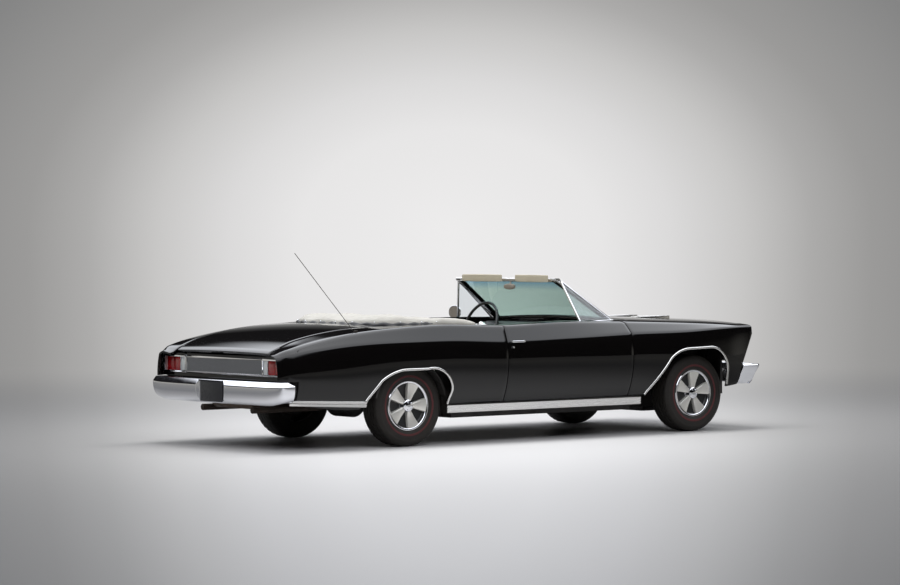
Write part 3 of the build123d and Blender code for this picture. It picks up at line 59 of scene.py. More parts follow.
# Places along the body, as the frame has them
DOOR_FRONT = 0.944
DOOR_REAR = -0.337
DOOR_INNER = 0.770
CARD_FRONT = 0.780
DOOR_BOTTOM = 0.322
HOOD_REAR = 1.042
HOOD_FRONT = 2.252
HOOD_BOW = 0.042
LID_FRONT = -1.468
LID_REAR = -2.384
TAIL = -2.360
TAIL_BOTTOM = 0.534
WELL_REAR = -1.400
COWL_REAR = 0.862
NOSE_LEAN = 0.130
NOSE_BREAK = 0.790
NOSE_FOOT = 0.372
FENDER_FOOT = 2.095
HOOD_CROWN = 0.026
LID_CROWN = 0.016

SIDES = ((1, "left"), (-1, "right"))

# Body side sections, front to rear. Lengths are shares of the half length, widths of the
# half width and heights of the belt height. Columns: station, top edge y and z, belt y and z,
# crease y and z, widest y and z, foot y and z.
BODY_SHARES = [
    (0.914, 0.782, 0.944, 0.888, 0.934, 0.932, 0.922, 0.950, 0.700, 0.940, 0.430),
    (0.799, 0.782, 0.960, 0.884, 0.946, 0.953, 0.917, 0.978, 0.700, 0.962, 0.395),
    (0.619, 0.782, 0.979, 0.878, 0.966, 0.968, 0.897, 0.994, 0.690, 0.940, 0.356),
    (0.376, 0.782, 1.001, 0.870, 0.988, 0.966, 0.892, 0.997, 0.680, 0.911, 0.350),
    (0.120, 0.782, 1.010, 0.905, 1.004, 0.978, 0.866, 1.000, 0.680, 0.915, 0.350),
    (-0.134, 0.782, 0.992, 0.932, 0.986, 0.985, 0.842, 1.000, 0.670, 0.921, 0.350),
    (-0.360, 0.782, 1.010, 0.927, 1.005, 0.984, 0.868, 1.000, 0.680, 0.921, 0.345),
    (-0.560, 0.672, 0.998, 0.908, 0.984, 0.977, 0.873, 0.995, 0.690, 0.924, 0.335),
    (-0.719, 0.672, 0.968, 0.892, 0.944, 0.963, 0.862, 0.985, 0.700, 0.925, 0.330),
    (-0.859, 0.672, 0.900, 0.878, 0.880, 0.942, 0.826, 0.965, 0.700, 0.915, 0.362),
    (-0.939, 0.672, 0.820, 0.855, 0.828, 0.912, 0.790, 0.932, 0.690, 0.895, 0.400),
    (-0.975, 0.672, 0.770, 0.790, 0.788, 0.840, 0.765, 0.860, 0.690, 0.840, 0.420),
]
NOSE = BODY_SHARES[0][0] * HALF_LENGTH
QUARTER_REAR = BODY_SHARES[-1][0] * HALF_LENGTH

# Wheel arch outlines from the side, as shares of the arch reach and of the arch top
ARCH_REACH = 0.350
FRONT_ARCH_TOP = 0.682
REAR_ARCH_TOP = 0.590
FRONT_ARCH = [
    (-1.86, 0.33), (-0.957, 0.891), (-0.72, 0.962), (-0.42, 0.993),
    (0.18, 1.0), (0.63, 0.93), (0.80, 0.73), (0.76, 0.33),
]
REAR_ARCH = [
    (-1.64, 0.38), (-0.93, 0.868), (-0.70, 0.945), (-0.35, 0.998),
    (0.29, 1.0), (0.83, 0.91), (0.994, 0.73), (0.85, 0.38),
]


def linear(code):
    """Linear colour of an sRGB hex value."""
    channels = [int(code[i:i + 2], 16) / 255 for i in (1, 3, 5)]
    rgb = [c / 12.92 if c <= 0.04045 else ((c + 0.055) / 1.055) ** 2.4 for c in channels]
    return (*rgb, 1.0)


def add_node(tree, kind, settings=None, values=None, links=None):
    """Add one node, with its settings, its socket values and the sockets linked into it."""
    node = tree.nodes.new(kind)
    for key, value in (settings or {}).items():
        setattr(node, key, value)
    for key, value in (values or {}).items():
        node.inputs[key].default_value = value
    for key, source in (links or {}).items():
        tree.links.new(source, node.inputs[key])
    return node


class CarBodySizes(bpy.types.PropertyGroup):
    """Sizes of the body skins."""

    skin: FloatProperty(
        name="Skin", description="Thickness of the outer panels", default=0.014,
        min=0.004, max=0.02, unit="LENGTH",
    )
    edge: FloatProperty(
        name="Edge radius", description="Rounding at the panel edges", default=0.0022,
        min=0.0005, max=0.005, unit="LENGTH",
    )
    belt_radius: FloatProperty(
        name="Belt radius", description="Rounding along the belt line", default=0.030,
        min=0.005, max=0.06, unit="LENGTH",
    )
    crease_radius: FloatProperty(
        name="Crease radius", description="Rounding along the side crease", default=0.016,
        min=0.003, max=0.04, unit="LENGTH",
    )
    step: FloatProperty(
        name="Section pitch", description="Distance between body sections", default=0.030,
        min=0.01, max=0.1, unit="LENGTH",
    )


class CarPaintColours(bpy.types.PropertyGroup):
    """Colours that an owner would choose."""

    body: FloatVectorProperty(
        name="Body", description="Body paint", subtype="COLOR", size=4,
        default=linear("#070606"), min=0, max=1,
    )
    vinyl: FloatVectorProperty(
        name="Vinyl", description="Seats and door cards", subtype="COLOR", size=4,
        default=linear("#E4DFD2"), min=0, max=1,
    )
    boot: FloatVectorProperty(
        name="Top boot", description="Cover over the stowed top", subtype="COLOR", size=4,
        default=linear("#C2BFB7"), min=0, max=1,
    )


class CarStageSizes(bpy.types.PropertyGroup):
    """Camera and lights."""

    lens: FloatProperty(
        name="Lens", description="Focal length of the camera", default=130.97,
        min=20, max=300, unit="CAMERA",
    )
    key: FloatProperty(
        name="Overhead light", description="Power of the overhead panel", default=390,
        min=0, max=5000, unit="POWER",
    )
    fill: FloatProperty(
        name="Side light", description="Power of each side panel", default=130,
        min=0, max=5000, unit="POWER",
    )


def body_row(x):
    """Body section sizes at x, on a smooth line through the table's stations."""
    rows = [(s * HALF_LENGTH,) + tuple(v) for s, *v in BODY_SHARES]
    for i in range(len(rows) - 1):
        if x >= rows[i + 1][0] or i == len(rows) - 2:
            break
    before = rows[max(i - 1, 0)]
    near, far = rows[i], rows[i + 1]
    after = rows[min(i + 2, len(rows) - 1)]
    step = far[0] - near[0]
    t = (x - near[0]) / step

    def slope(left, here, right, c):
        if (here[c] - left[c]) * (right[c] - here[c]) <= 0:
            return 0
        return (right[c] - left[c]) / (right[0] - left[0]) * step

    names = ("top_y", "top_z", "belt_y", "belt_z", "crease_y", "crease_z",
             "wide_y", "wide_z", "foot_y", "foot_z")
    sizes = {}
    for c, name in enumerate(names, start=1):
        value = ((2 * t ** 3 - 3 * t ** 2 + 1) * near[c]
                 + (t ** 3 - 2 * t ** 2 + t) * slope(before, near, far, c)
                 + (3 * t ** 2 - 2 * t ** 3) * far[c]
                 + (t ** 3 - t ** 2) * slope(near, far, after, c))
        sizes[name] = value * (HALF_WIDTH if name.endswith("_y") else BELT)
    return sizes


def arc_through(a, b, c, count):
    """Points on the arc from a to c through b, both ends included."""
    ax, ay = a
    bx, by = b
    cx, cy = c
    d = 2 * (ax * (by - cy) + bx * (cy - ay) + cx * (ay - by))
    if abs(d) < 1e-9:
        return [(ax + (cx - ax) * i / count, ay + (cy - ay) * i / count) for i in range(count + 1)]
    ux = ((ax * ax + ay * ay) * (by - cy) + (bx * bx + by * by) * (cy - ay)
          + (cx * cx + cy * cy) * (ay - by)) / d
    uy = ((ax * ax + ay * ay) * (cx - bx) + (bx * bx + by * by) * (ax - cx)
          + (cx * cx + cy * cy) * (bx - ax)) / d
    start = math.atan2(ay - uy, ax - ux)
    middle = math.atan2(by - uy, bx - ux)
    end = math.atan2(cy - uy, cx - ux)
    turn = (end - start) % (2 * math.pi)
    if (middle - start) % (2 * math.pi) > turn:
        turn -= 2 * math.pi
    radius = math.hypot(ax - ux, ay - uy)
    return [
        (ux + radius * math.cos(start + turn * i / count), uy + radius * math.sin(start + turn * i / count))
        for i in range(count + 1)
    ]


def round_corner(line, corner, radius, count):
    """A corner of a polyline of 2-D points, as a curve that starts and ends a radius from it."""
    p, q, r = (Vector(v) for v in line[corner - 1:corner + 2])
    back = (p - q)
    ahead = (r - q)
    reach = min(radius, back.length * 0.48, ahead.length * 0.48)
    start = q + back.normalized() * reach
    end = q + ahead.normalized() * reach
    return [tuple(start * (1 - t) ** 2 + q * 2 * t * (1 - t) + end * t ** 2)
            for t in (i / count for i in range(count + 1))]


def side_section(x, sizes, bottom=None):
    """Outer line of the body side at x as (y, z) points, from the top's edge to the foot."""
    s = body_row(x)
    top = (s["top_y"], s["top_z"])
    belt = (s["belt_y"], s["belt_z"])
    crease = (s["crease_y"], s["crease_z"])
    foot = (s["foot_y"], s["foot_z"] if bottom is None else bottom)
    side = arc_through(crease, (s["wide_y"], s["wide_z"]), foot, 16)
    belt_curve = round_corner([top, belt, crease], 1, sizes.belt_radius, 6)
    crease_curve = round_corner([belt, crease, side[1]], 1, sizes.crease_radius, 4)
    first = [(top[0] + (belt_curve[0][0] - top[0]) * i / 5, top[1] + (belt_curve[0][1] - top[1]) * i / 5)
             for i in range(5)]
    shelf = [(belt_curve[-1][0] + (crease_curve[0][0] - belt_curve[-1][0]) * i / 5,
              belt_curve[-1][1] + (crease_curve[0][1] - belt_curve[-1][1]) * i / 5) for i in range(1, 5)]
    return first + belt_curve + shelf + crease_curve + side[2:]


def steps_between(start, end, pitch):
    """Even places from start to end, about a pitch apart."""
    count = max(2, round(abs(end - start) / pitch))
    return [start + (end - start) * i / count for i in range(count + 1)]


def mesh_piece(name, bm):
    """Object made of a bmesh, with its faces pointing out and its doubles merged."""
    bmesh.ops.remove_doubles(bm, verts=bm.verts, dist=1e-6)
    bmesh.ops.recalc_face_normals(bm, faces=bm.faces)
    mesh = bpy.data.meshes.new(name)
    bm.to_mesh(mesh)
    bm.free()
    piece = bpy.data.objects.new(name, mesh)
    bpy.context.scene.collection.objects.link(piece)
    return piece


def add_grid(bm, rows, material=0, loop=False, caps=False, around=False):
    """Quads between rows of points.

    loop joins each row's ends, around joins the last row to the first, and caps close the first
    and last rows.
    """
    made = [[bm.verts.new(p) for p in row] for row in rows]
    count = len(rows[0])
    for near, far in zip(made, made[1:] + (made[:1] if around else [])):
        for i in range(count if loop else count - 1):
            j = (i + 1) % count
            face = bm.faces.new((near[i], near[j], far[j], far[i]))
            face.material_index = material
    if caps:
        for row in (made[0], made[-1]):
            face = bm.faces.new(row)
            face.material_index = material
    return made


def shares(count):
    """Even shares from 0 to 1, both ends included."""
    return [i / count for i in range(count + 1)]


def turns(count):
    """Even angles round a full turn."""
    return [2 * math.pi * i / count for i in range(count)]


def oval(width, height, count):
    """Closed section of an oval, about its middle."""
    return [(width * math.cos(turn), height * math.sin(turn)) for turn in turns(count)]


def add_lathe(bm, profile, centre, side, segments):
    """Turn a closed profile of (out, radius) points round a wheel's axis."""
    x, y, z = centre
    rows = [[(x + r * math.cos(turn), y + side * out, z + r * math.sin(turn)) for out, r in profile]
            for turn in turns(segments)]
    return add_grid(bm, rows, loop=True, around=True)


def add_turned(bm, centre, profile, segments):
    """Ring or dome of (forward, radius) points turned round a level fore-and-aft axis."""
    x, y, z = centre
    rows = [[(x + a, y + r * math.cos(turn), z + r * math.sin(turn)) for a, r in profile]
            for turn in turns(segments)]
    add_grid(bm, rows, loop=True, around=True)


def add_block(bm, low, high):
    """Straight-sided block between two corners."""
    made = bmesh.ops.create_cube(bm, size=1)
    middle = (Vector(low) + Vector(high)) / 2
    size = Vector(high) - Vector(low)
    for v in made["verts"]:
        v.co = v.co * size + middle


def extrude_outline(bm, outline, y0, y1):
    """Closed (x, z) outline pushed from y0 to y1."""
    near = [bm.verts.new((x, y0, z)) for x, z in outline]
    far = [bm.verts.new((x, y1, z)) for x, z in outline]
    bm.faces.new(near)
    bm.faces.new(list(reversed(far)))
    for i in range(len(outline)):
        j = (i + 1) % len(outline)
        bm.faces.new((near[i], far[i], far[j], near[j]))


def shade(piece, angle):
    """Smooth shading, with edges sharper than an angle in degrees kept sharp."""
    piece.data.shade_smooth()
    piece.data.set_sharp_from_angle(angle=math.radians(angle))


def settle(piece, smooth=35):
    """Turn a piece's live modifiers into its mesh, with smooth shading below an angle."""
    bpy.context.view_layer.update()
    ready = piece.evaluated_get(bpy.context.evaluated_depsgraph_get())
    mesh = bpy.data.meshes.new_from_object(ready)
    piece.modifiers.clear()
    old = piece.data
    piece.data = mesh
    mesh.name = piece.name
    bpy.data.meshes.remove(old)
    if smooth is not None:
        shade(piece, smooth)
    return piece


def cut(piece, cutters):
    """Cut solids out of a piece, and remove them."""
    for cutter in cutters:
        tool = piece.modifiers.new("cut", "BOOLEAN")
        tool.operation = "DIFFERENCE"
        tool.solver = "EXACT"
        tool.object = cutter
    settle(piece, None)
    for cutter in cutters:
        bpy.data.objects.remove(cutter)


def bevel(piece, width, segments=2):
    """Live bevel on a piece's sharp edges."""
    tool = piece.modifiers.new("edges", "BEVEL")
    tool.width = width
    tool.segments = segments
    tool.limit_method = "ANGLE"
    tool.angle_limit = math.radians(40)


def add_wall(piece, thickness, even=False):
    """Live wall behind an open shell's face."""
    wall = piece.modifiers.new("wall", "SOLIDIFY")
    wall.thickness = thickness
    wall.offset = -1
    wall.use_even_offset = even


def shaped(name, bm, smooth=35, edge=0, segments=2, fine=False):
    """Object made of a bmesh, with rounded edges or one level of subdivision turned into its mesh."""
    piece = mesh_piece(name, bm)
    if edge:
        bevel(piece, edge, segments)
    if fine:
        piece.modifiers.new("fine", "SUBSURF").levels = 1
    return settle(piece, smooth)


def dress(piece, body, slot, *finishes, replaces=()):
    """Give a finished piece its finishes, body and the nodes that it stands for. The slot is not used."""
    # Slots are set in place, because clearing them sends every face back to the first
    slots = piece.data.materials
    for i, name in enumerate(finishes):
        if i < len(slots):
            slots[i] = finish_of(name)
        else:
            slots.append(finish_of(name))
    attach(piece, body)
    if replaces:
        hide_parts(*replaces)
    return piece


def arch_outline(axle, top, shares, grow=0.0):
    """Wheel arch outline as (x, z) points, closed below the ground, grown by a width."""
    p = [(axle + a * ARCH_REACH, b * top) for a, b in shares]
    line = [p[0]] + arc_through(p[1], p[2], p[3], 10) + arc_through(p[4], p[5], p[6], 12) + [p[7]]
    if grow:
        grown = []
        for i, point in enumerate(line):
            before = Vector(line[max(i - 1, 0)])
            after = Vector(line[min(i + 1, len(line) - 1)])
            along = (after - before).normalized()
            grown.append(tuple(Vector(point) + Vector((-along.y, along.x)) * grow))
        line = grown
    return line


def side_cutter(outline, side, inner=0.5, outer=1.2):
    """Solid of an (x, z) outline through one side of the car."""
    bm = bmesh.new()
    extrude_outline(bm, outline, side * inner, side * outer)
    return mesh_piece("cutter", bm)


def arch_cutter(axle, top, shares, side):
    """Solid of a wheel arch through one side of the car."""
    line = arch_outline(axle, top, shares)
    return side_cutter(line + [(line[-1][0], -0.1), (line[0][0], -0.1)], side)


def nose_cutter(side):
    """Solid ahead of the fender's leaning front edge."""
    return side_cutter([
        (NOSE + 0.06, NOSE_BREAK), (NOSE, NOSE_BREAK), (NOSE - NOSE_LEAN, TAIL_BOTTOM),
        (FENDER_FOOT, NOSE_FOOT), (FENDER_FOOT, -0.06), (NOSE + 0.06, -0.06),
    ], side)


def valance_cutter(side):
    """Solid below the quarter's tip, behind the tail."""
    return side_cutter([
        (QUARTER_REAR - 0.06, TAIL_BOTTOM), (TAIL + 0.06, TAIL_BOTTOM), (TAIL + 0.06, 0),
        (QUARTER_REAR - 0.06, 0),
    ], side)


# Materials

# Sockets of a Mix node that mixes colours
MIX_A, MIX_B, MIX_RESULT = 6, 7, 2


def new_material(name, values=None):
    """Material with its shader's values: returns the material, its tree and the shader node."""
    material = bpy.data.materials.new(name)
    material.use_nodes = True
    tree = material.node_tree
    shader = tree.nodes["Principled BSDF"]
    for key, value in (values or {}).items():
        shader.inputs[key].default_value = value
    return material, tree, shader


def grain(tree, shader, scale, strength, distance, kind="ShaderNodeTexNoise"):
    """Bump of a fine pattern whose cells are 1 / scale metres across."""
    place = add_node(tree, "ShaderNodeTexCoord")
    values = {"Scale": scale}
    if kind == "ShaderNodeTexNoise":
        values["Detail"] = 3.0
    pattern = add_node(tree, kind, values=values, links={"Vector": place.outputs["Object"]})
    bump = add_node(tree, "ShaderNodeBump", values={"Strength": strength, "Distance": distance},
                    links={"Height": pattern.outputs[0]})
    tree.links.new(bump.outputs["Normal"], shader.inputs["Normal"])


def mottle(tree, shader, socket, low, high, scale):
    """Vary a colour or a value of the shader over patches 1 / scale metres across."""
    place = add_node(tree, "ShaderNodeTexCoord")
    cloud = add_node(tree, "ShaderNodeTexNoise", values={"Scale": scale, "Detail": 4.0},
                     links={"Vector": place.outputs["Object"]})
    if not isinstance(low, float):
        ramp = add_node(tree, "ShaderNodeMix", {"data_type": "RGBA"}, {MIX_A: low, MIX_B: high},
                        {"Factor": cloud.outputs["Fac"]})
        tree.links.new(ramp.outputs[MIX_RESULT], shader.inputs[socket])
    else:
        ramp = add_node(tree, "ShaderNodeMapRange", values={
            "From Min": 0.3, "From Max": 0.7, "To Min": low, "To Max": high},
            links={"Value": cloud.outputs["Fac"]})
        tree.links.new(ramp.outputs["Result"], shader.inputs[socket])


def acrylic_lacquer():
    """Black acrylic lacquer, sprayed and polished: deep gloss with a faint ripple."""
    material, tree, shader = new_material("black acrylic lacquer", {
        "Base Color": bpy.context.scene.car_paint.body, "Roughness": 0.05, "Specular IOR Level": 0.38})
    # Orange peel is 2 to 5 mm across: drawn at 25 mm, the size of the ripple that shows
    grain(tree, shader, 40, 0.02, 0.001)
    return material


def satin_black(name="satin black chassis paint", code="#131314", roughness=0.55):
    """Brushed-on chassis black, with road dust that dulls it in patches."""
    material, tree, shader = new_material(name)
    mottle(tree, shader, "Base Color", linear(code), linear("#2A2623"), 7)
    mottle(tree, shader, "Roughness", roughness - 0.08, roughness + 0.15, 11)
    return material


def chrome_plate():
    """Copper-nickel-chrome plate over pressed steel: a blue-white mirror, a little hazy in patches."""
    material, tree, shader = new_material("chrome plate", {"Base Color": linear("#DDDEE2"), "Metallic": 1.0})
    mottle(tree, shader, "Roughness", 0.035, 0.10, 18)
    return material


def stainless_trim():
    """Rolled and buffed stainless strip: bright, with a softer reflection than chrome."""
    material, tree, shader = new_material("buffed stainless strip", {
        "Base Color": linear("#C9C8C6"), "Metallic": 1.0})
    mottle(tree, shader, "Roughness", 0.14, 0.24, 30)
    return material


def tinted_glass(name="laminated tinted glass", code="#B4CFC6", band=None):
    """Float glass with a light green tint; band darkens it to blue above a height."""
    material, tree, shader = new_material(name, {
        "Base Color": linear(code), "Roughness": 0.0, "IOR": 1.45, "Transmission Weight": 1.0})
    if band:
        place = add_node(tree, "ShaderNodeTexCoord")
        split = add_node(tree, "ShaderNodeSeparateXYZ", links={"Vector": place.outputs["Object"]})
        fade = add_node(tree, "ShaderNodeMapRange", values={
            "From Min": band[0], "From Max": band[1]}, links={"Value": split.outputs["Z"]})
        tint = add_node(tree, "ShaderNodeMix", {"data_type": "RGBA"},
                        {MIX_A: linear(code), MIX_B: linear("#6D9DB4")}, {"Factor": fade.outputs["Result"]})
        tree.links.new(tint.outputs[MIX_RESULT], shader.inputs["Base Color"])
    return material


def lens_plastic(name, code):
    """Moulded acrylic lens: clear colour with a polished face and fine flutes behind it."""
    material, tree, shader = new_material(name, {
        "Base Color": linear(code), "Roughness": 0.08, "IOR": 1.49, "Transmission Weight": 0.1,
        "Coat Weight": 0.6})
    # Flutes are about 4 mm apart; drawn at 8 mm so that they show
    grain(tree, shader, 125, 0.35, 0.003, "ShaderNodeTexVoronoi")
    return material


def grained_vinyl(name, colour, dark, roughness=0.42):
    """Calendered vinyl with a pressed leather grain, slightly soiled in the folds."""
    material, tree, shader = new_material(name, {"Roughness": roughness, "IOR": 1.5, "Sheen Weight": 0.05})
    mottle(tree, shader, "Base Color", colour, dark, 9)
    # Grain cells are 1 to 2 mm; drawn at 5 mm so that they show
    grain(tree, shader, 200, 0.35, 0.0012, "ShaderNodeTexVoronoi")
    return material


def tyre_rubber():
    """Vulcanised rubber, dark grey and dusty where the road touches it."""
    material, tree, shader = new_material("vulcanised tyre rubber", {
        "Roughness": 0.72, "Specular IOR Level": 0.35})
    mottle(tree, shader, "Base Color", linear("#161412"), linear("#24201C"), 22)
    # Moulding texture about 3 mm across
    grain(tree, shader, 330, 0.25, 0.0008)
    return material


def plain_finish(name, code, roughness, metallic=0.0, scale=14, spread=0.12, dark=None):
    """Coated or moulded surface with slight changes of tone and gloss across it."""
    material, tree, shader = new_material(name, {"Metallic": metallic})
    mottle(tree, shader, "Base Color", linear(code), linear(dark or code), scale)
    mottle(tree, shader, "Roughness", max(0.03, roughness - spread / 2), roughness + spread, scale * 1.7)
    return material


# Finishes made so far, by name
MADE = {}


def finish_of(name):
    """The named finish, made once."""
    paint = bpy.context.scene.car_paint
    makers = {
        "lacquer": acrylic_lacquer,
        "chrome": chrome_plate,
        "stainless": stainless_trim,
        "chassis": satin_black,
        "floor_pan": lambda: satin_black("sprayed floor pan black", "#0E0E0F", 0.62),
        "windscreen": lambda: tinted_glass(band=(1.17, 1.25)),
        "glass": lambda: tinted_glass("tempered side glass", "#EEF3F6"),
        "lamp_glass": lambda: tinted_glass("pressed lamp glass", "#F2F4F4"),
        "red_lens": lambda: lens_plastic("red acrylic lens", "#8E1015"),
        "clear_lens": lambda: lens_plastic("clear acrylic lens", "#D9DCDC"),
        # Pale tone at each tail lamp's outer end: painted reflection
        "pale_lens_painted_reflection": lambda: lens_plastic("pale pink lens, painted reflection", "#B98F90"),
        "seat": lambda: grained_vinyl("off-white seat vinyl", tuple(paint.vinyl), linear("#D3CCBC")),
        "boot": lambda: grained_vinyl("white boot vinyl", tuple(paint.boot), linear("#B2AFA7"), 0.5),
        "visor": lambda: grained_vinyl("cream visor vinyl", linear("#CDC5B0"), linear("#BBB29C"), 0.5),
        "dash": lambda: grained_vinyl("black padded vinyl", linear("#131314"), linear("#1B1B1C"), 0.5),
        "rubber": tyre_rubber,
        "red_line": lambda: plain_finish("red sidewall rubber", "#4A1719", 0.7, scale=60),
        # Pale, partly diffuse plating for the cover wedges: bright plating, with a pale diffuse share that
        # paints their bright reflection
        "cover_silver_painted_reflection": lambda: plain_finish("satin cover plating, painted reflection", "#DDDBD5", 0.3, 0.4, 14, 0.03),
        # Black enamel of the wheel covers, seal and column; on the boot's stowed top and roll it is painted
        # shade
        "black_enamel_and_painted_shade": lambda: plain_finish("black enamel and painted shade", "#0C0C0D", 0.38),
        "cover_grey": lambda: plain_finish("argent cover enamel", "#77797B", 0.34, 0.6),
        "insert": lambda: plain_finish("charcoal insert enamel", "#6C6D71", 0.4, 0.3, 90, 0.2, "#7C7D82"),
        "grille_black": lambda: plain_finish("black grille enamel", "#0D0D0E", 0.45),
        # Dark grey, darker than bright steel
        "antenna": lambda: plain_finish("dark grey antenna steel", "#4C4844", 0.35, 0.8, 40),
        # Warm grey: the inside mirror's shell, and on the door mirror's glass a painted reflection of the seats
        "mirror_shell_and_painted_reflection": lambda: plain_finish("warm grey mirror shell and painted reflection", "#8D857A", 0.5, scale=50),
        "plate": lambda: plain_finish("blank plate enamel", "#15161A", 0.4, scale=30),
        "hard_rim": lambda: plain_finish("black hard rubber rim", "#0F0F10", 0.28),
        "cast_iron": lambda: plain_finish("bare cast iron", "#4A4542", 0.6, 0.7, 40, 0.2, "#5E4A3C"),
        "engine": lambda: plain_finish("dull engine enamel", "#3E4347", 0.5, 0.1, 20, 0.15, "#2C2A28"),
        "tank": lambda: plain_finish("weathered terne plate", "#5A4A3D", 0.6, 0.35, 9, 0.25, "#3B322B"),
        "exhaust": lambda: plain_finish("scaled exhaust steel", "#3F342D", 0.65, 0.4, 16, 0.2, "#2A2420"),
    }
    if name not in MADE:
        MADE[name] = makers[name]()
    return MADE[name]


def repaint(node, finish):
    """Give a CAD node one finish."""
    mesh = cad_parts[node].data
    mesh.materials.clear()
    mesh.materials.append(finish_of(finish))


# Body panels


def side_panel(name, side, start, end, sizes):
    """Shell of a body side between two places."""
    bm = bmesh.new()
    rows = [[(x, side * y, z) for y, z in side_section(x, sizes)]
            for x in steps_between(start, end, sizes.step)]
    add_grid(bm, rows)
    piece = mesh_piece(name, bm)
    point_out(piece, Vector((0, side, 0.6)))
    add_wall(piece, sizes.skin, even=True)
    return settle(piece, None)


def point_out(piece, way):
    """Turn an open shell's faces so that most point a given way."""
    total = sum(f.normal.dot(way) * f.area for f in piece.data.polygons)
    if total < 0:
        piece.data.flip_normals()


def join_pieces(name, pieces):
    """One piece of several meshes."""
    bm = bmesh.new()
    for piece in pieces:
        bm.from_mesh(piece.data)
        bpy.data.objects.remove(piece)
    mesh = bpy.data.meshes.new(name)
    bm.to_mesh(mesh)
    bm.free()
    made = bpy.data.objects.new(name, mesh)
    bpy.context.scene.collection.objects.link(made)
    return made


def crown(rise, half):
    """Height of a panel between the body sides, crowned across by a rise over a half width."""
    return lambda x, y: body_row(x)["top_z"] + rise * (1 - (y / half) ** 2)


def crowned_panel(name, edge, places, half, sizes):
    """Crowned panel: edge(t, y) gives x, places(x, y) gives z."""
    bm = bmesh.new()
    across, along = 44, 34
    rows = []
    for i in range(along + 1):
        row = []
        for j in range(across + 1):
            y = half * (2 * j / across - 1)
            x = edge(i / along, y)
            row.append((x, y, places(x, y)))
        rows.append(row)
    add_grid(bm, rows)
    piece = mesh_piece(name, bm)
    point_out(piece, Vector((0, 0, 1)))
    add_wall(piece, 0.022)
    bevel(piece, sizes.edge)
    return settle(piece)


class CAR_OT_body_sides(bpy.types.Operator):
    """Front fenders and rear quarters"""

    bl_idname = "car.body_sides"
    bl_label = "Body sides"

    def execute(self, context):
        sizes = context.scene.car_body
        plans = (
            ("fenders", "front_fenders", DOOR_FRONT + SHUT_GAP, NOSE,
             lambda s: [arch_cutter(FRONT_AXLE, FRONT_ARCH_TOP, FRONT_ARCH, s), nose_cutter(s)]),
            ("quarters", "rear_quarters", DOOR_REAR - SHUT_GAP, QUARTER_REAR,
             lambda s: [arch_cutter(REAR_AXLE, REAR_ARCH_TOP, REAR_ARCH, s), valance_cutter(s)]),
        )
        for name, node, start, end, cutters in plans:
            sides = []
            for side in (1, -1):
                panel = side_panel(name, side, start, end, sizes)
                cut(panel, cutters(side))
                sides.append(panel)
            piece = join_pieces(name, sides)
            bevel(piece, sizes.edge)
            settle(piece, 30)
            dress(piece, "body", "body_paint", "lacquer", replaces=[node])
        return {"FINISHED"}


class CAR_OT_doors(bpy.types.Operator):
    """Both doors, with their inner faces"""

    bl_idname = "car.doors"
    bl_label = "Doors"

    def execute(self, context):
        sizes = context.scene.car_body
        for side, name in SIDES:
            bm = bmesh.new()
            rows = []
            for x in steps_between(DOOR_REAR, DOOR_FRONT, sizes.step):
                s = body_row(x)
                line = side_section(x, sizes, DOOR_BOTTOM)[5:]
                line = [(DOOR_INNER, s["top_z"])] + line + [(DOOR_INNER, DOOR_BOTTOM)]
                rows.append([(x, side * y, z) for y, z in line])
            add_grid(bm, rows, loop=True, caps=True)
            piece = shaped("door_skin_" + name, bm, 30, edge=sizes.edge)
            dress(piece, "door_" + name, "body_paint", "lacquer",
                  replaces=["door_" + name])
        return {"FINISHED"}


class CAR_OT_top_panels(bpy.types.Operator):
    """Hood, trunk lid, cowl and deck filler"""

    bl_idname = "car.top_panels"
    bl_label = "Top panels"

    def execute(self, context):
        sizes = context.scene.car_body
        hood_half = body_row(FRONT_AXLE)["top_y"] - SHUT_GAP
        lid_half = 0.672 * HALF_WIDTH - SHUT_GAP

        def hood_edge(t, y):
            front = HOOD_FRONT + HOOD_BOW * (1 - (y / hood_half) ** 2)
            return HOOD_REAR + t * (front - HOOD_REAR)

        piece = crowned_panel("hood_skin", hood_edge, crown(HOOD_CROWN, hood_half), hood_half, sizes)
        dress(piece, "hood", "body_paint", "lacquer", replaces=["hood"])

        def lid_z(x, y):
            share = (LID_FRONT - x) / (LID_FRONT - LID_REAR)
            rise = LID_CROWN * (1 - 0.6 * share ** 1.6)
            return body_row(x)["top_z"] + rise * (1 - (y / lid_half) ** 2)

        piece = crowned_panel("lid_skin", lambda t, y: LID_FRONT + t * (LID_REAR - LID_FRONT),
                              lid_z, lid_half, sizes)
        dress(piece, "trunk_lid", "body_paint", "lacquer", replaces=["trunk_lid"])
        cowl_half = hood_half + SHUT_GAP - 0.0003
        piece = crowned_panel("cowl_skin", lambda t, y: COWL_REAR + t * (HOOD_REAR - SHUT_GAP - COWL_REAR),
                              crown(HOOD_CROWN, cowl_half), cowl_half, sizes)
        dress(piece, "body", "body_paint", "lacquer", replaces=["cowl_panel"])
        filler_half = lid_half + SHUT_GAP - 0.0003
        piece = crowned_panel("filler_skin", lambda t, y: WELL_REAR + t * (LID_FRONT + SHUT_GAP - WELL_REAR),
                              crown(LID_CROWN, filler_half), filler_half, sizes)
        dress(piece, "body", "body_paint", "lacquer", replaces=["deck_filler"])
        return {"FINISHED"}


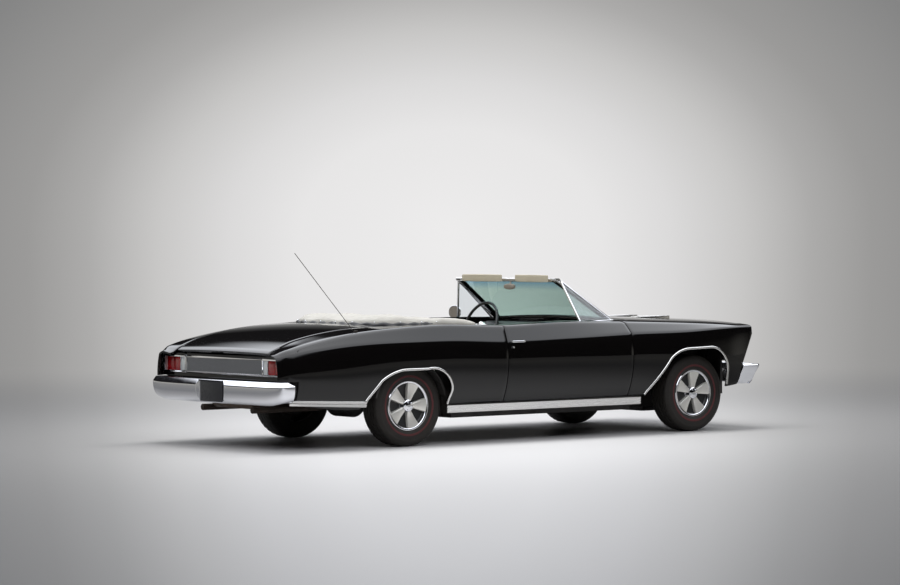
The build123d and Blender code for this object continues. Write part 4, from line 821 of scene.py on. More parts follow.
class CAR_OT_carried_over(bpy.types.Operator):
    """Finishes of the frame's own pieces that stay in sight"""

    bl_idname = "car.carried_over"
    bl_label = "Structure finishes"

    def execute(self, context):
        finishes = {
            "chassis": "chassis_frame front_suspension rear_axle",
            "floor_pan": "floor_tub trunk_tub inner_fenders",
            "cast_iron": "knuckle_left knuckle_right",
            "lacquer": "cowl_panel nose_panel tail_panel deck_filler front_fenders rear_quarters"
                       " door_left door_right hood trunk_lid",
            "chrome": "front_bumper rear_bumper door_trim_left door_trim_right wheel_front_left"
                      " wheel_front_right wheel_rear_left wheel_rear_right",
            "rubber": "tyre_front_left tyre_front_right tyre_rear_left tyre_rear_right",
            "stainless": "windshield_frame lamp_housings side_mouldings hood_vents",
            "glass": "vent_glass_left vent_glass_right",
            "seat": "front_seats rear_seat",
            "engine": "engine", "tank": "fuel_tank", "exhaust": "exhaust", "plate": "rear_plate",
            "windscreen": "windshield_glass", "dash": "dash", "hard_rim": "steering_wheel",
            "boot": "top_boot", "visor": "header_trim", "grille_black": "grille",
            "lamp_glass": "headlamps", "insert": "tail_insert", "red_lens": "tail_lamps",
            "antenna": "antenna",
        }
        for finish, nodes in finishes.items():
            for node in nodes.split():
                repaint(node, finish)
        return {"FINISHED"}


def skin_y(x, z, sizes):
    """Half width of the body side's outer skin at a place and height."""
    line = [p for p in side_section(x, sizes) if p[1] <= body_row(x)["crease_z"]]
    for (y0, z0), (y1, z1) in zip(line, line[1:]):
        if z0 >= z >= z1:
            return y0 + (y1 - y0) * (z0 - z) / max(z0 - z1, 1e-6)
    return line[-1][0] if z < line[-1][1] else line[0][0]


def sweep_section(bm, path, section, around=False):
    """Carry a closed section of (across, up) points along frames of (place, across way, up way)."""
    rows = [[place + across * a + up * b for a, b in section] for place, across, up in path]
    add_grid(bm, rows, loop=True, caps=not around, around=around)


def level_frames(line, z=0.0, facing=1):
    """Frames along a level line of (y, x) points; z is a height, or gives one from x and y."""
    frames = []
    for i, (y, x) in enumerate(line):
        y0, x0 = line[max(i - 1, 0)]
        y1, x1 = line[min(i + 1, len(line) - 1)]
        along = Vector((x1 - x0, y1 - y0, 0)).normalized()
        height = z(x, y) if callable(z) else z
        frames.append((Vector((x, y, height)), Vector((along.y, -along.x, 0)) * facing, Vector((0, 0, 1))))
    return frames


def straight_frames(start, end, up, count=1):
    """Frames along a straight line, for a section with a given up way."""
    start, end, up = Vector(start), Vector(end), Vector(up)
    along = (end - start).normalized()
    across = along.cross(up).normalized()
    lift = across.cross(along).normalized()
    return [(start.lerp(end, i / count), across, lift) for i in range(count + 1)]


def rounded_bar(width, height, radius, count=3):
    """Closed section of a bar with rounded corners, about its middle."""
    points = []
    w, h = width / 2 - radius, height / 2 - radius
    for quarter, (sx, sy) in enumerate(((1, 1), (-1, 1), (-1, -1), (1, -1))):
        for i in range(count + 1):
            turn = math.pi / 2 * (quarter + i / count)
            points.append((sx * w + radius * math.cos(turn), sy * h + radius * math.sin(turn)))
    return points


def repeat_tree():
    """Geometry Nodes tree: a row of blocks, each a step from the last."""
    tree = bpy.data.node_groups.new("row of ribs", "GeometryNodeTree")
    sockets = (
        ("Count", "NodeSocketInt", 10), ("Start", "NodeSocketVector", None),
        ("Step", "NodeSocketVector", None), ("Size", "NodeSocketVector", None),
        ("Turn", "NodeSocketVector", None), ("Finish", "NodeSocketMaterial", None),
    )
    for name, kind, value in sockets:
        socket = tree.interface.new_socket(name, in_out="INPUT", socket_type=kind)
        if value is not None:
            socket.default_value = value
    tree.interface.new_socket("Ribs", in_out="OUTPUT", socket_type="NodeSocketGeometry")
    given = add_node(tree, "NodeGroupInput")
    line = add_node(tree, "GeometryNodeMeshLine", {"mode": "OFFSET"}, links={
        "Count": given.outputs["Count"], "Start Location": given.outputs["Start"],
        "Offset": given.outputs["Step"]})
    rib = add_node(tree, "GeometryNodeMeshCube", links={"Size": given.outputs["Size"]})
    copies = add_node(tree, "GeometryNodeInstanceOnPoints", links={
        "Points": line.outputs["Mesh"], "Instance": rib.outputs["Mesh"],
        "Rotation": given.outputs["Turn"]})
    real = add_node(tree, "GeometryNodeRealizeInstances", links={"Geometry": copies.outputs["Instances"]})
    done = add_node(tree, "GeometryNodeSetMaterial", links={
        "Geometry": real.outputs["Geometry"], "Material": given.outputs["Finish"]})
    add_node(tree, "NodeGroupOutput", links={"Ribs": done.outputs["Geometry"]})
    return tree


def row_of_ribs(name, count, start, step, size, finish, turn=(0, 0, 0), edge=0.0008):
    """A row of like ribs, made by Geometry Nodes and turned into a plain mesh."""
    tree = bpy.data.node_groups.get("row of ribs") or repeat_tree()
    piece = bpy.data.objects.new(name, bpy.data.meshes.new(name))
    bpy.context.scene.collection.objects.link(piece)
    rows = piece.modifiers.new("ribs", "NODES")
    rows.node_group = tree
    given = {"Count": count, "Start": start, "Step": step, "Size": size, "Turn": turn,
             "Finish": finish_of(finish)}
    for item in tree.interface.items_tree:
        if item.item_type == "SOCKET" and item.in_out == "INPUT":
            rows[item.identifier] = given[item.name]
    if edge:
        bevel(piece, edge, 1)
    return settle(piece, 30)


# Wheel's name, axle, side of the car and the turn of its cover in degrees
CORNERS = (
    ("front_left", FRONT_AXLE, 1, 12), ("front_right", FRONT_AXLE, -1, 12),
    ("rear_left", REAR_AXLE, 1, 0), ("rear_right", REAR_AXLE, -1, 0),
)


class CarWheelSizes(bpy.types.PropertyGroup):
    """Sizes of the tyres and wheel covers."""

    spokes: IntProperty(name="Spokes", description="Wedges on each cover", default=5, min=3, max=12)
    tip: FloatProperty(
        name="Wedge tip", description="Width of a wedge at the rim", default=0.106,
        min=0.03, max=0.18, unit="LENGTH",
    )
    root: FloatProperty(
        name="Wedge root", description="Width of a wedge at the hub", default=0.036,
        min=0.01, max=0.06, unit="LENGTH",
    )
    blocks: IntProperty(name="Tread cuts", description="Cuts round the tread", default=84, min=20, max=160)


def mark_bands(bm, made, profile):
    """Give each band of a turned profile the finish that its (out, radius, finish) row names."""
    lookup = {v: j for row in made for j, v in enumerate(row)}
    for face in bm.faces:
        marks = {lookup[v] for v in face.verts}
        low = max(marks) if marks == {0, len(profile) - 1} else min(marks)
        face.material_index = profile[low][2]


class CAR_OT_wheels(bpy.types.Operator):
    """Wheels with their covers"""

    bl_idname = "car.wheels"
    bl_label = "Wheels"

    def execute(self, context):
        sizes = context.scene.car_wheels
        # Columns: out from the wheel's middle, radius, finish of the band that follows
        rim = [
            (-0.076, 0.1877, 1), (0.069, 0.1877, 1), (0.0775, 0.1925, 0), (0.0800, 0.1938, 0),
            (0.0850, 0.1936, 0), (0.0880, 0.1905, 0), (0.0885, 0.1850, 0), (0.0870, 0.1775, 0),
            (0.0835, 0.1730, 0), (0.0790, 0.1712, 2), (0.0640, 0.1690, 2), (0.0560, 0.1610, 2),
            (0.0500, 0.1200, 2), (0.0500, 0.0600, 0), (0.0640, 0.0500, 0), (0.0820, 0.0475, 0),
            (0.0880, 0.0450, 0), (0.0915, 0.0395, 0), (0.0925, 0.0250, 0), (0.0945, 0.0215, 0),
            (0.0955, 0.0120, 0), (0.0958, 0.0000, 0), (0.0640, 0.0000, 1), (0.0640, 0.0306, 1),
            (0.0330, 0.0306, 1), (0.0330, 0.1650, 1), (0.0250, 0.1785, 1), (-0.0760, 0.1785, 1),
        ]
        for name, axle, side, phase in CORNERS:
            centre = (axle, side * HALF_TRACK, TYRE_RADIUS)
            bm = bmesh.new()
            made = add_lathe(bm, [(a, b) for a, b, _ in rim], centre, side, 72)
            mark_bands(bm, made, rim)
            for turn in turns(sizes.spokes):
                self.add_wedge(bm, centre, side, math.radians(phase) + turn, sizes)
            for turn in turns(sizes.spokes):
                turn += math.radians(phase + 36)
                nut = (centre[0] + 0.0325 * math.cos(turn), centre[1], centre[2] + 0.0325 * math.sin(turn))
                add_lathe(bm, [(0.088, 0.0), (0.088, 0.0062), (0.0945, 0.0052), (0.0958, 0.003), (0.0958, 0.0)],
                          nut, side, 10)
            piece = mesh_piece("wheel_cover_" + name, bm)
            shade(piece, 32)
            # The wedges' pale plating paints their bright reflection
            dress(piece, "wheel_" + name, "chrome", "chrome", "chassis",
                  "black_enamel_and_painted_shade", "cover_silver_painted_reflection", replaces=["wheel_" + name])
        return {"FINISHED"}

    def add_wedge(self, bm, centre, side, turn, sizes):
        """One bright wedge of the cover, crowned across, with rounded edges."""
        # Shares of the wedge's half width, and how far its face stands out there
        section = [(-1.0, -0.030), (-1.0, -0.006), (-0.96, -0.0015), (-0.86, 0.0), (-0.5, 0.0020),
                   (0, 0.0028), (0.5, 0.0020), (0.86, 0.0), (0.96, -0.0015), (1.0, -0.006), (1.0, -0.030)]
        ux, uz = math.cos(turn), math.sin(turn)
        rows = []
        for t in shares(8):
            r = 0.043 + (0.1735 - 0.043) * t
            half = (sizes.root + (sizes.tip - sizes.root) * t) / 2
            face = 0.0795 + 0.006 * t - 0.0045 * math.sin(math.pi * t)
            row = []
            for a, d in section:
                w = a * half
                rr = math.sqrt(max(r * r - w * w * 0.85, 0.0)) if t > 0.5 else r
                row.append((centre[0] + rr * ux - w * uz, centre[1] + side * (face + d),
                            centre[2] + rr * uz + w * ux))
            rows.append(row)
        add_grid(bm, rows, 3, loop=True, caps=True)


class CAR_OT_tyres(bpy.types.Operator):
    """Tyres, with grooves, tread cuts and a red line"""

    bl_idname = "car.tyres"
    bl_label = "Tyres"

    def execute(self, context):
        sizes = context.scene.car_wheels
        wall = [
            (0.0735, 0.1905, 0), (0.0790, 0.1885, 0), (0.0840, 0.1935, 0), (0.0905, 0.2040, 0),
            (0.0945, 0.2140, 0), (0.0965, 0.2180, 0), (0.0970, 0.2182, 1), (0.0992, 0.2330, 1),
            (0.0990, 0.2334, 0), (0.1000, 0.2400, 0), (0.0994, 0.2580, 0), (0.0970, 0.2700, 0),
            (0.0978, 0.2725, 0), (0.0972, 0.2760, 0), (0.0940, 0.2880, 0), (0.0885, 0.2990, 0),
            (0.0820, 0.3075, 0), (0.0745, 0.3118, 0), (0.0560, 0.3134, 0), (0.0550, 0.3070, 0),
            (0.0490, 0.3070, 0), (0.0480, 0.3138, 0), (0.0220, 0.3147, 0), (0.0210, 0.3075, 0),
            (0.0150, 0.3075, 0), (0.0140, 0.3148, 0), (0.0, 0.3150, 0),
        ]
        mirrored = [(-a, r, 0) for a, r, _ in reversed(wall[:-1])]
        profile = wall + mirrored + [(-0.0700, 0.1880, 0), (0.0700, 0.1880, 0)]
        tread = range(16, 16 + 2 * (len(wall) - 17) + 1)
        for name, axle, side, _ in CORNERS:
            centre = (axle, side * HALF_TRACK, TYRE_RADIUS)
            bm = bmesh.new()
            made = add_lathe(bm, [(a, b) for a, b, _ in profile], centre, side, sizes.blocks * 2)
            mark_bands(bm, made, profile)
            # Every fourth ring is pressed in a little near the shoulders, as the tread's cuts
            for i, row in enumerate(made):
                if i % 4 == 0:
                    for j in tread:
                        out, r, _ = profile[j]
                        if r > 0.309 and abs(out) > 0.024:
                            turn = 2 * math.pi * i / len(made)
                            deep = r - 0.005
                            row[j].co = Vector((centre[0] + deep * math.cos(turn), row[j].co.y,
                                                centre[2] + deep * math.sin(turn)))
            piece = mesh_piece("tyre_tread_" + name, bm)
            shade(piece, 38)
            dress(piece, "wheel_" + name, "tyre", "rubber", "red_line",
                  replaces=["tyre_" + name])
        return {"FINISHED"}


def bumper_frames(end, half, bow, wrap, corner):
    """Frames along a bumper's outer face in plan, from one wrapped end to the other."""
    tip = end * HALF_LENGTH
    corner_x = tip - end * bow
    wrap_x = corner_x - end * wrap
    arc = arc_through((-half, corner_x), (0, tip), (half, corner_x), 56)
    bend_x = (wrap_x + corner_x) / 2
    line = [(-half, wrap_x), (-half, bend_x)] + arc + [(half, bend_x), (half, wrap_x)]
    first, last = 2, len(line) - 3
    curve_a = round_corner([line[0], line[first], line[first + 6]], 1, corner, 8)
    curve_b = round_corner([line[last - 6], line[last], line[-1]], 1, corner, 8)
    middle = [p for p in line[first + 1:last] if abs(p[0]) < half - corner * 1.05]
    plan = [line[0]] + curve_a + middle + curve_b + [line[-1]]
    return level_frames(plan, facing=end)


class CAR_OT_bumpers(bpy.types.Operator):
    """Chrome bumpers and the blank plate"""

    bl_idname = "car.bumpers"
    bl_label = "Bumpers"

    def execute(self, context):
        # Sections as (out, height) points, from the upper lip round to the back
        rear = [
            (-0.0500, 0.5200), (-0.0440, 0.5285), (-0.0300, 0.5295), (-0.0240, 0.5270),
            (-0.0030, 0.4920), (-0.0004, 0.4860), (-0.0002, 0.4800), (-0.0030, 0.4300),
            (-0.0080, 0.4020), (-0.0170, 0.3780), (-0.0300, 0.3590), (-0.0420, 0.3500),
            (-0.0500, 0.3500), (-0.0560, 0.3560), (-0.0520, 0.4100), (-0.0480, 0.4800),
        ]
        bm = bmesh.new()
        sweep_section(bm, bumper_frames(-1, 0.901, 0.046, 0.125, 0.120), rear)
        for v in bm.verts:
            near_end = max(0.0, (abs(v.co.y) - 0.66) / 0.24)
            v.co.z = 0.530 - (0.530 - v.co.z) * (1 - 0.20 * near_end ** 2)
        piece = mesh_piece("rear_bumper_bar", bm)
        # Recess for the plate, with sloping cheeks
        outline = [(-2.4785, 0.158), (-2.5200, 0.235), (-2.5200, -0.235), (-2.4785, -0.158)]
        bm = bmesh.new()
        add_grid(bm, [[(x, y, z) for x, y in outline] for z in (0.3580, 0.5140)], loop=True, caps=True)
        cut(piece, [mesh_piece("cutter", bm)])
        bevel(piece, 0.002)
        settle(piece, 28)
        dress(piece, "body", "chrome", "chrome", replaces=["rear_bumper"])
        self.add_irons("rear_bumper_irons", -2.330, -2.470, 0.520, (0.384, 0.480), (0.408, 0.468))
        bm = bmesh.new()
        add_block(bm, (-2.4835, -0.1525, 0.3600), (-2.4790, 0.1525, 0.5120))
        piece = shaped("plate_blank", bm, edge=0.0015)
        dress(piece, "body", "plate", "plate", replaces=["rear_plate"])
        front_section = [
            (-0.0500, 0.5280), (-0.0440, 0.5370), (-0.0120, 0.5378), (-0.0040, 0.5350),
            (-0.0004, 0.5290), (-0.0080, 0.5060), (-0.0300, 0.4700), (-0.0360, 0.4620),
            (-0.0520, 0.4200), (-0.0740, 0.3860), (-0.0860, 0.3755), (-0.0960, 0.3740),
            (-0.0980, 0.3800), (-0.0860, 0.4200), (-0.0620, 0.4800),
        ]
        bm = bmesh.new()
        sweep_section(bm, bumper_frames(1, 0.908, 0.122, 0.200, 0.055), front_section)
        piece = shaped("front_bumper_bar", bm, 28, edge=0.0015)
        dress(piece, "body", "chrome", "chrome", replaces=["front_bumper"])
        self.add_irons("front_bumper_irons", 2.180, 2.395, 0.418, (0.196, 0.292), (0.425, 0.485))
        return {"FINISHED"}

    def add_irons(self, name, start, end, y, low, high):
        """Irons from the frame's rails to the back of a bumper."""
        bm = bmesh.new()
        for side in (1, -1):
            extrude_outline(bm, [(start, low[0]), (end, high[0]), (end, high[1]), (start, low[1])],
                            side * y - 0.026, side * y + 0.026)
        piece = shaped(name, bm, edge=0.003)
        dress(piece, "body", "frame_paint", "chassis")


def lamp_box(bm, y0, y1, z0, z1, face, depth, rim):
    """Bright open frame round a lamp, with a sloping inner edge."""
    for a0, a1, b0, b1 in ((y0, y1, z1 - rim, z1), (y0, y1, z0, z0 + rim),
                           (y0, y0 + rim, z0 + rim, z1 - rim), (y1 - rim, y1, z0 + rim, z1 - rim)):
        add_block(bm, (face, a0, b0), (face + depth, a1, b1))


# How far the tail lamps stand off the tail panel
LAMP_STAND = 0.0118


class CAR_OT_tail(bpy.types.Operator):
    """Tail lamps, the insert between them and their bright frame"""

    bl_idname = "car.tail"
    bl_label = "Tail"

    def execute(self, context):
        low, high = 0.562, 0.698
        inner, outer = 0.526, 0.838
        face = TAIL - LAMP_STAND
        for side, name in SIDES:
            y0, y1 = sorted((side * inner, side * outer))
            split = side * (inner + 0.072)
            middle = (split + side * (outer - 0.046)) / 2
            bm = bmesh.new()
            lamp_box(bm, y0, y1, low, high, face, LAMP_STAND, 0.014)
            lamp_box(bm, split - 0.004, split + 0.004, low + 0.014, high - 0.014, face, LAMP_STAND, 0.0035)
            piece = shaped("lamp_bezel_" + name, bm, edge=0.0022)
            dress(piece, "body", "bright_trim", "chrome")
            bm = bmesh.new()
            # Two red cells, the pale outer cell, whose pale tone is a painted reflection, and the clear lens,
            # with their finish's number
            cells = (
                (split + side * 0.004, middle - side * 0.001, 0),
                (middle + side * 0.001, side * (outer - 0.047), 0),
                (side * (outer - 0.045), side * (outer - 0.015), 2),
                (side * (inner + 0.015), split - side * 0.004, 1),
            )
            for a, b, finish in cells:
                self.add_lens(bm, *sorted((a, b)), low + 0.0145, high - 0.0145, face + 0.0050, 0.0058, finish)
            piece = shaped("lamp_lens_" + name, bm, edge=0.0012)
            dress(piece, "body", "tail_red", "red_lens", "clear_lens", "pale_lens_painted_reflection")
            if side > 0:
                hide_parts("tail_lamps")
        bm = bmesh.new()
        lamp_box(bm, 0.001 - inner, inner - 0.001, low, high, TAIL - 0.0078, 0.0078, 0.013)
        piece = shaped("insert_frame", bm, edge=0.0018)
        dress(piece, "body", "bright_trim", "chrome", replaces=["tail_insert"])
        bm = bmesh.new()
        add_block(bm, (TAIL - 0.0040, 0.013 - inner, low + 0.012), (TAIL, inner - 0.013, high - 0.012))
        piece = shaped("insert_panel", bm)
        dress(piece, "body", "insert", "insert")
        # The insert's fine pressed lines: 4 mm apart on the car, drawn 8 mm apart so that they show
        lines = row_of_ribs("insert_lines", 14, (TAIL - 0.0045, 0, low + 0.0160), (0, 0, 0.008),
                            (0.003, 2 * inner - 0.028, 0.0030), "cover_grey", edge=0)
        dress(lines, "body", "insert", "cover_grey")
        return {"FINISHED"}

    def add_lens(self, bm, y0, y1, z0, z1, face, depth, material):
        """A lens with a stepped, slightly bowed face."""
        rows = []
        for t in shares(8):
            y = y0 + (y1 - y0) * t
            bulge = 0.0042 * math.sin(math.pi * t)
            rows.append([
                (face + depth, y, z0), (face - bulge * 0.3 + 0.0008, y, z0),
                (face - bulge, y, z0 + (z1 - z0) * 0.3), (face - bulge, y, z0 + (z1 - z0) * 0.7),
                (face - bulge * 0.3 + 0.0008, y, z1), (face + depth, y, z1),
            ])
        add_grid(bm, rows, material, loop=True, caps=True)


# Section of an arch moulding
HALF_ROUND = [
    (0.0098, -0.004), (0.0098, 0.0010), (0.0082, 0.0048), (0.0048, 0.0070), (0.0, 0.0080),
    (-0.0048, 0.0070), (-0.0082, 0.0048), (-0.0098, 0.0010), (-0.0098, -0.004),
]


class CAR_OT_mouldings(bpy.types.Operator):
    """Bright mouldings round the arches, along the sills and behind the rear wheels"""

    bl_idname = "car.mouldings"
    bl_label = "Mouldings"

    def execute(self, context):
        sizes = context.scene.car_body
        # Name, axle, arch, and the heights of its rear and front feet
        arches = (
            ("front", FRONT_AXLE, FRONT_ARCH_TOP, FRONT_ARCH, 0.309, 0.380),
            ("rear", REAR_AXLE, REAR_ARCH_TOP, REAR_ARCH, 0.352, 0.309),
        )
        pieces = []
        for name, axle, top, shares, back_foot, front_foot in arches:
            line = self.thicken(arch_outline(axle, top, shares, 0.0075))
            line = [p for p in line if p[1] > (back_foot if p[0] < axle else front_foot)]
            for side in (1, -1):
                path = []
                for i, (x, z) in enumerate(line):
                    before, after = line[max(i - 1, 0)], line[min(i + 1, len(line) - 1)]
                    along = Vector((after[0] - before[0], 0, after[1] - before[1])).normalized()
                    across = Vector((-along.z, 0, along.x))
                    around = line[max(i - 2, 0):i + 3]
                    out = sum(skin_y(a, b, sizes) for a, b in around) / len(around)
                    place = Vector((x, side * min(out, 0.9458), z))
                    path.append((place, across, Vector((0, side, 0))))
                bm = bmesh.new()
                sweep_section(bm, path, HALF_ROUND)
                pieces.append(mesh_piece(name, bm))
        for side in (1, -1):
            pieces.append(self.ribbed_strip(side, -0.880, 1.090, lambda x: 0.278, lambda x: 0.060,
                                            lambda x, z: 0.8625, 3))
            pieces.append(self.ribbed_strip(
                side, -2.350, -1.672, lambda x: 0.342 + (-1.664 - x) / 0.688 * 0.031,
                lambda x: 0.046 - (-1.664 - x) / 0.688 * 0.006, lambda x, z: skin_y(x, z, sizes), 2))
        piece = join_pieces("bright_mouldings", pieces)
        shade(piece, 36)
        dress(piece, "body", "bright_trim", "stainless", replaces=["side_mouldings"])
        return {"FINISHED"}

    def thicken(self, line):
        """More points along a line, for a smooth sweep over the body side."""
        made = []
        for (x0, z0), (x1, z1) in zip(line, line[1:]):
            count = max(1, round(math.hypot(x1 - x0, z1 - z0) / 0.02))
            made += [(x0 + (x1 - x0) * i / count, z0 + (z1 - z0) * i / count) for i in range(count)]
        return made + [line[-1]]

    def ribbed_strip(self, side, start, end, middle, height, face, ribs):
        """Strip with level ribs along a body side."""
        bm = bmesh.new()
        rows = []
        for x in steps_between(start, end, 0.03):
            z0, h = middle(x), height(x)
            row = []
            for t in shares(ribs * 6):
                z = z0 - h / 2 + h * t
                share = ribs * t % 1.0
                out = 0.0018 + 0.0052 * (share / 0.82 if share < 0.82 else (1 - share) / 0.18)
                row.append((x, side * (face(x, z) + out), z))
            row.append((x, side * (face(x, z0 + h / 2) - 0.004), z0 + h / 2))
            row.append((x, side * (face(x, z0 - h / 2) - 0.004), z0 - h / 2))
            rows.append(row)
        add_grid(bm, rows, loop=True, caps=True)
        return mesh_piece("strip", bm)


class CAR_OT_boot(bpy.types.Operator):
    """Cover over the stowed top, pulled tight over the folds below it"""

    bl_idname = "car.boot"
    bl_label = "Top boot"

    def execute(self, context):
        bm = bmesh.new()
        # Middle line of the cover in plan, with its half width and its height there
        plan = [
            (-0.488, 0.696, 0.036, 0.948), (-0.60, 0.694, 0.038, 0.962), (-0.76, 0.690, 0.042, 0.973),
            (-0.88, 0.680, 0.050, 0.981), (-0.98, 0.650, 0.078, 0.987), (-1.08, 0.585, 0.110, 0.990),
            (-1.155, 0.490, 0.152, 0.991), (-1.190, 0.360, 0.180, 0.991), (-1.198, 0.180, 0.185, 0.991),
        ]
        line = plan + [(-1.198, 0.0, 0.185, 0.991)] + [(x, -y, w, h) for x, y, w, h in reversed(plan)]
        path = self.smooth(line, 8)
        rows = []
        for i, (x, y, w, h) in enumerate(path):
            out = self.outward(path, i)
            rise = h - 0.884
            row = []
            for t in shares(22):
                a = math.pi * t
                flat = math.sin(a) ** 0.34
                place = Vector((x, y, 0)) + out * (w * math.cos(a))
                fold = 0.006 * math.sin(3.2 * math.pi * t + 0.6) * math.sin(a)
                place.z = 0.884 + rise * flat + fold * min(1, w / 0.12)
                wrinkle = noise.noise(Vector((x * 5.5, y * 5.5, t * 1.7))) * 0.016
                wrinkle += noise.noise(Vector((x * 14, y * 14, t * 3))) * 0.007
                place.z += wrinkle * math.sin(a)
                place.z = min(place.z, 1.000)
                row.append(tuple(place))
            inner, outer = row[-1], row[0]
            row.append((inner[0], inner[1], 0.8805))
            row.append((outer[0], outer[1], 0.8805))
            rows.append(row)
        add_grid(bm, rows, loop=True, caps=True)
        piece = mesh_piece("boot_cover", bm)
        # The cover swells against its pinned edges, as vinyl does over folded cloth
        inflate(piece, 0.012, 2.0, lambda co: co.z < 0.893, 0.009)
        soften = piece.modifiers.new("fine", "SUBSURF")
        soften.levels = 1
        settle(piece, 60)
        dress(piece, "body", "boot_vinyl", "boot", replaces=["top_boot"])
        # The stowed top below the cover, a black block that makes the gap under the cover's edge dark: painted
        # shade
        bm = bmesh.new()
        add_block(bm, (-1.380, -0.592, 0.7085), (-1.030, 0.592, 0.8804))
        under = shaped("stowed_top_painted_shade", bm, 40, edge=0.02, segments=3)
        dress(under, "body", "boot_vinyl", "black_enamel_and_painted_shade")
        # Black roll below the cover's rear edge, in scallops between its studs: painted shade of the gap under
        # the edge
        bm = bmesh.new()
        frames = []
        for i, (x, y, w, h) in enumerate(path):
            if x < -0.90:
                out = self.outward(path, i)
                place = Vector((x, y, 0.924 + 0.005 * math.cos(i * 1.1))) + out * (w - 0.002)
                frames.append((place, out, Vector((0, 0, 1))))
        sweep_section(bm, frames, oval(0.016, 0.021, 12))
        roll = shaped("painted_shade_roll", bm, 60)
        dress(roll, "body", "boot_vinyl", "black_enamel_and_painted_shade")
        bm = bmesh.new()
        for i, (x, y, w, h) in enumerate(path):
            if i % 9 == 4 and abs(y) < 0.69:
                place = Vector((x, y, 0.948)) + self.outward(path, i) * (w - 0.004)
                ball = bmesh.ops.create_uvsphere(bm, u_segments=10, v_segments=6, radius=0.0055)
                bmesh.ops.translate(bm, verts=ball["verts"], vec=place)
        studs = mesh_piece("boot_studs", bm)
        studs.data.shade_smooth()
        dress(studs, "body", "bright_trim", "chrome")
        return {"FINISHED"}

    def outward(self, path, i):
        """Level way out of the cover's middle line at one of its points."""
        x, y = path[i][:2]
        x0, y0 = path[max(i - 1, 0)][:2]
        x1, y1 = path[min(i + 1, len(path) - 1)][:2]
        along = Vector((x1 - x0, y1 - y0, 0)).normalized()
        out = Vector((along.y, -along.x, 0))
        return -out if out.dot(Vector((x + 0.7, y, 0))) < 0 else out

    def smooth(self, line, count):
        """Points on a smooth curve through rows of numbers."""
        made = []
        for i in range(len(line) - 1):
            a = line[max(i - 1, 0)]
            b, c = line[i], line[i + 1]
            d = line[min(i + 2, len(line) - 1)]
            for k in range(count):
                t = k / count
                made.append(tuple(
                    0.5 * (2 * q + (r - p) * t + (2 * p - 5 * q + 4 * r - s) * t * t
                           + (3 * q - p - 3 * r + s) * t ** 3)
                    for p, q, r, s in zip(a, b, c, d)))
        return made + [line[-1]]


def inflate(piece, voxel, pressure, held, cap):
    """Swell a closed mesh by simulated cloth, with no point moving further than a cap."""
    work = bpy.data.objects.new("work", piece.data.copy())
    bpy.context.scene.collection.objects.link(work)
    grid = work.modifiers.new("remesh", "REMESH")
    grid.mode = "VOXEL"
    grid.voxel_size = voxel
    settle(work, None)
    start = [v.co.copy() for v in work.data.vertices]
    group = work.vertex_groups.new(name="held")
    group.add([i for i, co in enumerate(start) if held(co)], 1.0, "REPLACE")
    cloth = work.modifiers.new("cloth", "CLOTH")
    settings = cloth.settings
    settings.quality = 5
    settings.mass = 0.3
    settings.tension_stiffness = 25
    settings.compression_stiffness = 8
    settings.bending_stiffness = 0.6
    settings.use_pressure = True
    settings.uniform_pressure_force = pressure
    settings.effector_weights.gravity = 0
    settings.vertex_group_mass = "held"
    cloth.collision_settings.use_collision = False
    cloth.collision_settings.use_self_collision = False
    cloth.point_cache.frame_start = 1
    cloth.point_cache.frame_end = 20
    scene = bpy.context.scene
    for number in range(1, 21):
        scene.frame_set(number)
    ready = work.evaluated_get(bpy.context.evaluated_depsgraph_get())
    moved = [v.co.copy() for v in ready.data.vertices]
    scene.frame_set(1)
    work.modifiers.clear()
    for v, a, b in zip(work.data.vertices, start, moved):
        step = b - a
        if step.length > cap:
            step = step.normalized() * cap
        v.co = a + step
    old = piece.data
    piece.data = work.data
    piece.data.name = piece.name
    bpy.data.objects.remove(work)
    bpy.data.meshes.remove(old)
    piece.vertex_groups.clear()
    even = piece.modifiers.new("even", "SMOOTH")
    even.iterations = 2
    settle(piece, None)


def seat_part(name, profile, y0, y1, channels, depth, swell):
    """Padded seat part: an (x, z) profile carried across, channelled along and swelled by its stuffing."""
    rows = []
    centre = Vector((sum(p[0] for p in profile) / len(profile), sum(p[1] for p in profile) / len(profile)))
    for t in shares(channels * 6):
        y = y0 + (y1 - y0) * t
        edge = min(1.0, max(0.0, math.sin(math.pi * t)) * 3.2)
        shrink = 0.90 + 0.10 * edge ** 0.5
        wave = 1 - depth * (0.5 + 0.5 * math.cos(2 * math.pi * channels * t)) * (1 if 0.1 < t < 0.9 else 0.2)
        row = []
        for x, z in profile:
            p = centre + (Vector((x, z)) - centre) * shrink * wave
            row.append((p.x, y, p.y))
        rows.append(row)
    bm = bmesh.new()
    add_grid(bm, rows, loop=True, caps=True)
    piece = mesh_piece(name, bm)
    inflate(piece, *swell)
    piece.modifiers.new("fine", "SUBSURF").levels = 1
    settle(piece, 60)
    dress(piece, "body", "seat_vinyl", "seat")
    return piece


